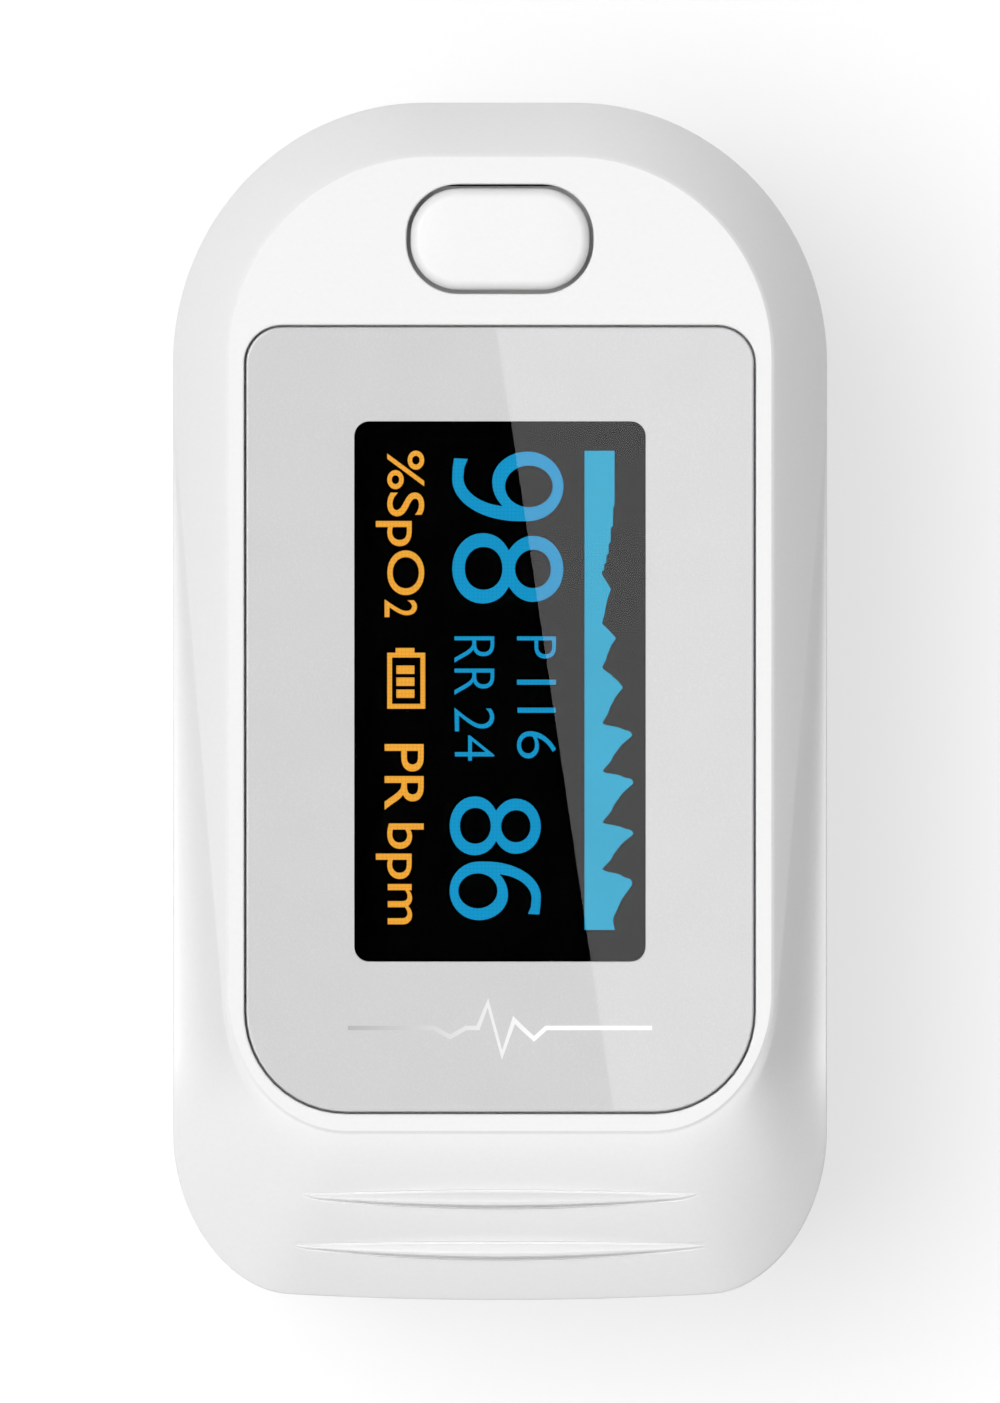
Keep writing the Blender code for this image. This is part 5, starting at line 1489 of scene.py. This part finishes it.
# ---------------------------------------------------------------- floor, light and camera
def add_floor():
    reach = 6000.0
    low, high = -1.0, -0.02
    ring = [(reach * c, reach * s) for c, s in arc(0, 0, 1, 1, 0, 354, 59)]
    floor = add_object("studio_floor", loft([level(ring, low), level(ring, high)]))
    floor.data.transform(Matrix.Scale(MM, 4))
    paper = Surface("pale_light_table", 0.85, 0.05, 60.0, Emission_Strength=0.55)
    paper.paint(paper.tint((0.42, 0.42, 0.42), 0.006))
    paper.link(paper.tint((1.0, 1.0, 1.0), 0.006), "Emission Color")
    paper.bump(paper.noise(0.8, 3.0), 0.01)
    floor.data.materials.append(paper.material)


def add_camera():
    """Straight above the object with the finger end up."""
    data = bpy.data.cameras.new("camera")
    data.lens = 600.0
    data.sensor_width = 36.0
    data.clip_end = 100.0
    camera = bpy.data.objects.new("camera", data)
    bpy.context.scene.collection.objects.link(camera)
    camera.location = (0.0, 0.0, CAMERA_Z)
    bpy.context.scene.camera = camera


CAMERA_Z = 1.2
STRIP_Z = 0.25
GLARE_EDGE = ((-0.13, 18.7), (5.7, -20.5))  # where the strip light's reflection begins on the lens


def mirrored(x, y):
    """The place at the strip light's height that the camera sees mirrored at (x, y) on the lens."""
    spot = JAW @ Vector((x, y, LENS_TOP)) * MM
    normal = (JAW.to_3x3() @ Vector((0, 0, 1))).normalized()
    ray = (spot - Vector((0, 0, CAMERA_Z))).reflect(normal)
    return spot + ray * (STRIP_Z - spot.z) / ray.z


def add_light(name, kind, strength, place, turn):
    data = bpy.data.lights.new(name, kind)
    data.energy = strength
    light = bpy.data.objects.new(name, data)
    light.location = place
    light.rotation_euler = turn
    light.visible_camera = False
    bpy.context.scene.collection.objects.link(light)
    return data


def add_lights():
    """A broad key from the upper left and a strip whose reflection crosses the lens."""
    for name, strength, width, azimuth, tilt in SUNS:
        turn = (math.radians(tilt), 0.0, math.radians(azimuth))
        add_light(name, "SUN", strength, (0.0, 0.0, 2.0), turn).angle = math.radians(width)
    far, near = (mirrored(*spot) for spot in GLARE_EDGE)
    run = far - near
    width, length = 0.03, 0.1
    across = Vector((run.y, -run.x, 0.0)).normalized()
    middle = (far + near) / 2 + across * width / 2
    power = STRIP_RADIANCE * math.pi * width * length
    turn = (0.0, 0.0, math.atan2(run.y, run.x) - math.pi / 2)
    strip = add_light("strip", "AREA", power, middle, turn)
    strip.shape = "RECTANGLE"
    strip.size, strip.size_y = width, length


# Strength, angular width, azimuth that it comes from (0 is -Y, 90 is +X) and tilt from straight down.
SUNS = (("key", 1.55, 34.0, 256.0, 20.0),)
STRIP_RADIANCE = 1.85
# Height of the sky's direction and how bright it is there: dim round about, bright high up and dark
# overhead. It grows brighter towards the left.
SKY = ((0.0, 0.01), (0.75, 0.02), (0.90, 1.0), (0.985, 1.0), (0.995, 0.0))
SKY_STRENGTH, SKY_LEAN = 1.84, -1.0


def make_sky():
    world = bpy.data.worlds.new("studio")
    bpy.context.scene.world = world
    world.use_nodes = True
    tree = world.node_tree
    place = tree.nodes.new("ShaderNodeTexCoord").outputs["Generated"]
    height = tree.nodes.new("ShaderNodeSeparateXYZ")
    ramp = tree.nodes.new("ShaderNodeValToRGB")
    tree.links.new(place, height.inputs[0])
    tree.links.new(height.outputs["Z"], ramp.inputs[0])
    stops = ramp.color_ramp.elements
    while len(stops) < len(SKY):
        stops.new(0.5)
    for stop, (at, grey) in zip(stops, SKY):
        stop.position = at
        stop.color = (grey, grey, grey, 1.0)
    lean = tree.nodes.new("ShaderNodeMapRange")
    tree.links.new(height.outputs["X"], lean.inputs["Value"])
    lean.inputs["From Min"].default_value = -1.0
    lean.inputs["To Min"].default_value = SKY_STRENGTH * (1 - SKY_LEAN)
    lean.inputs["To Max"].default_value = SKY_STRENGTH * (1 + SKY_LEAN)
    bright = tree.nodes.new("ShaderNodeVectorMath")
    bright.operation = "MULTIPLY"
    tree.links.new(ramp.outputs[0], bright.inputs[0])
    tree.links.new(lean.outputs[0], bright.inputs[1])
    under = tree.nodes.new("ShaderNodeMath")
    under.operation = "LESS_THAN"
    tree.links.new(height.outputs["Z"], under.inputs[0])
    under.inputs[1].default_value = 0.0
    whole = tree.nodes.new("ShaderNodeMix")
    whole.data_type = "RGBA"
    tree.links.new(under.outputs[0], whole.inputs[0])
    tree.links.new(bright.outputs[0], whole.inputs[6])
    whole.inputs[7].default_value = (1.0, 1.0, 1.0, 1.0)
    tree.links.new(whole.outputs[2], tree.nodes["Background"].inputs["Color"])
    bpy.context.scene.view_settings.view_transform = "Standard"


# ---------------------------------------------------------------- the whole object
finishes = make_finishes()
finish_carried(finishes)
add_top_cover(finishes["cover"])
add_lens(finishes["silver"], finishes["glass"])
add_button(finishes["button"])
add_readout(finishes["units"], finishes["values"], finishes["wave"])
add_pulse_mark(finishes["mark"])
add_upper_housing(finishes["shell"])
add_finger_parts("upper", UPPER, UPPER_DEPTH, 1, finishes, "upper_jaw")
add_finger_parts("lower", LOWER, LOWER_DEPTH, -1, finishes, "lower_jaw")
add_lower_housing(finishes["shell"])
add_battery_door(finishes["shell"])
add_hinge(finishes)
add_screws(finishes["steel"])
add_cells(finishes["sleeve"], finishes["nickel"])
add_floor()
make_sky()
add_lights()
add_camera()
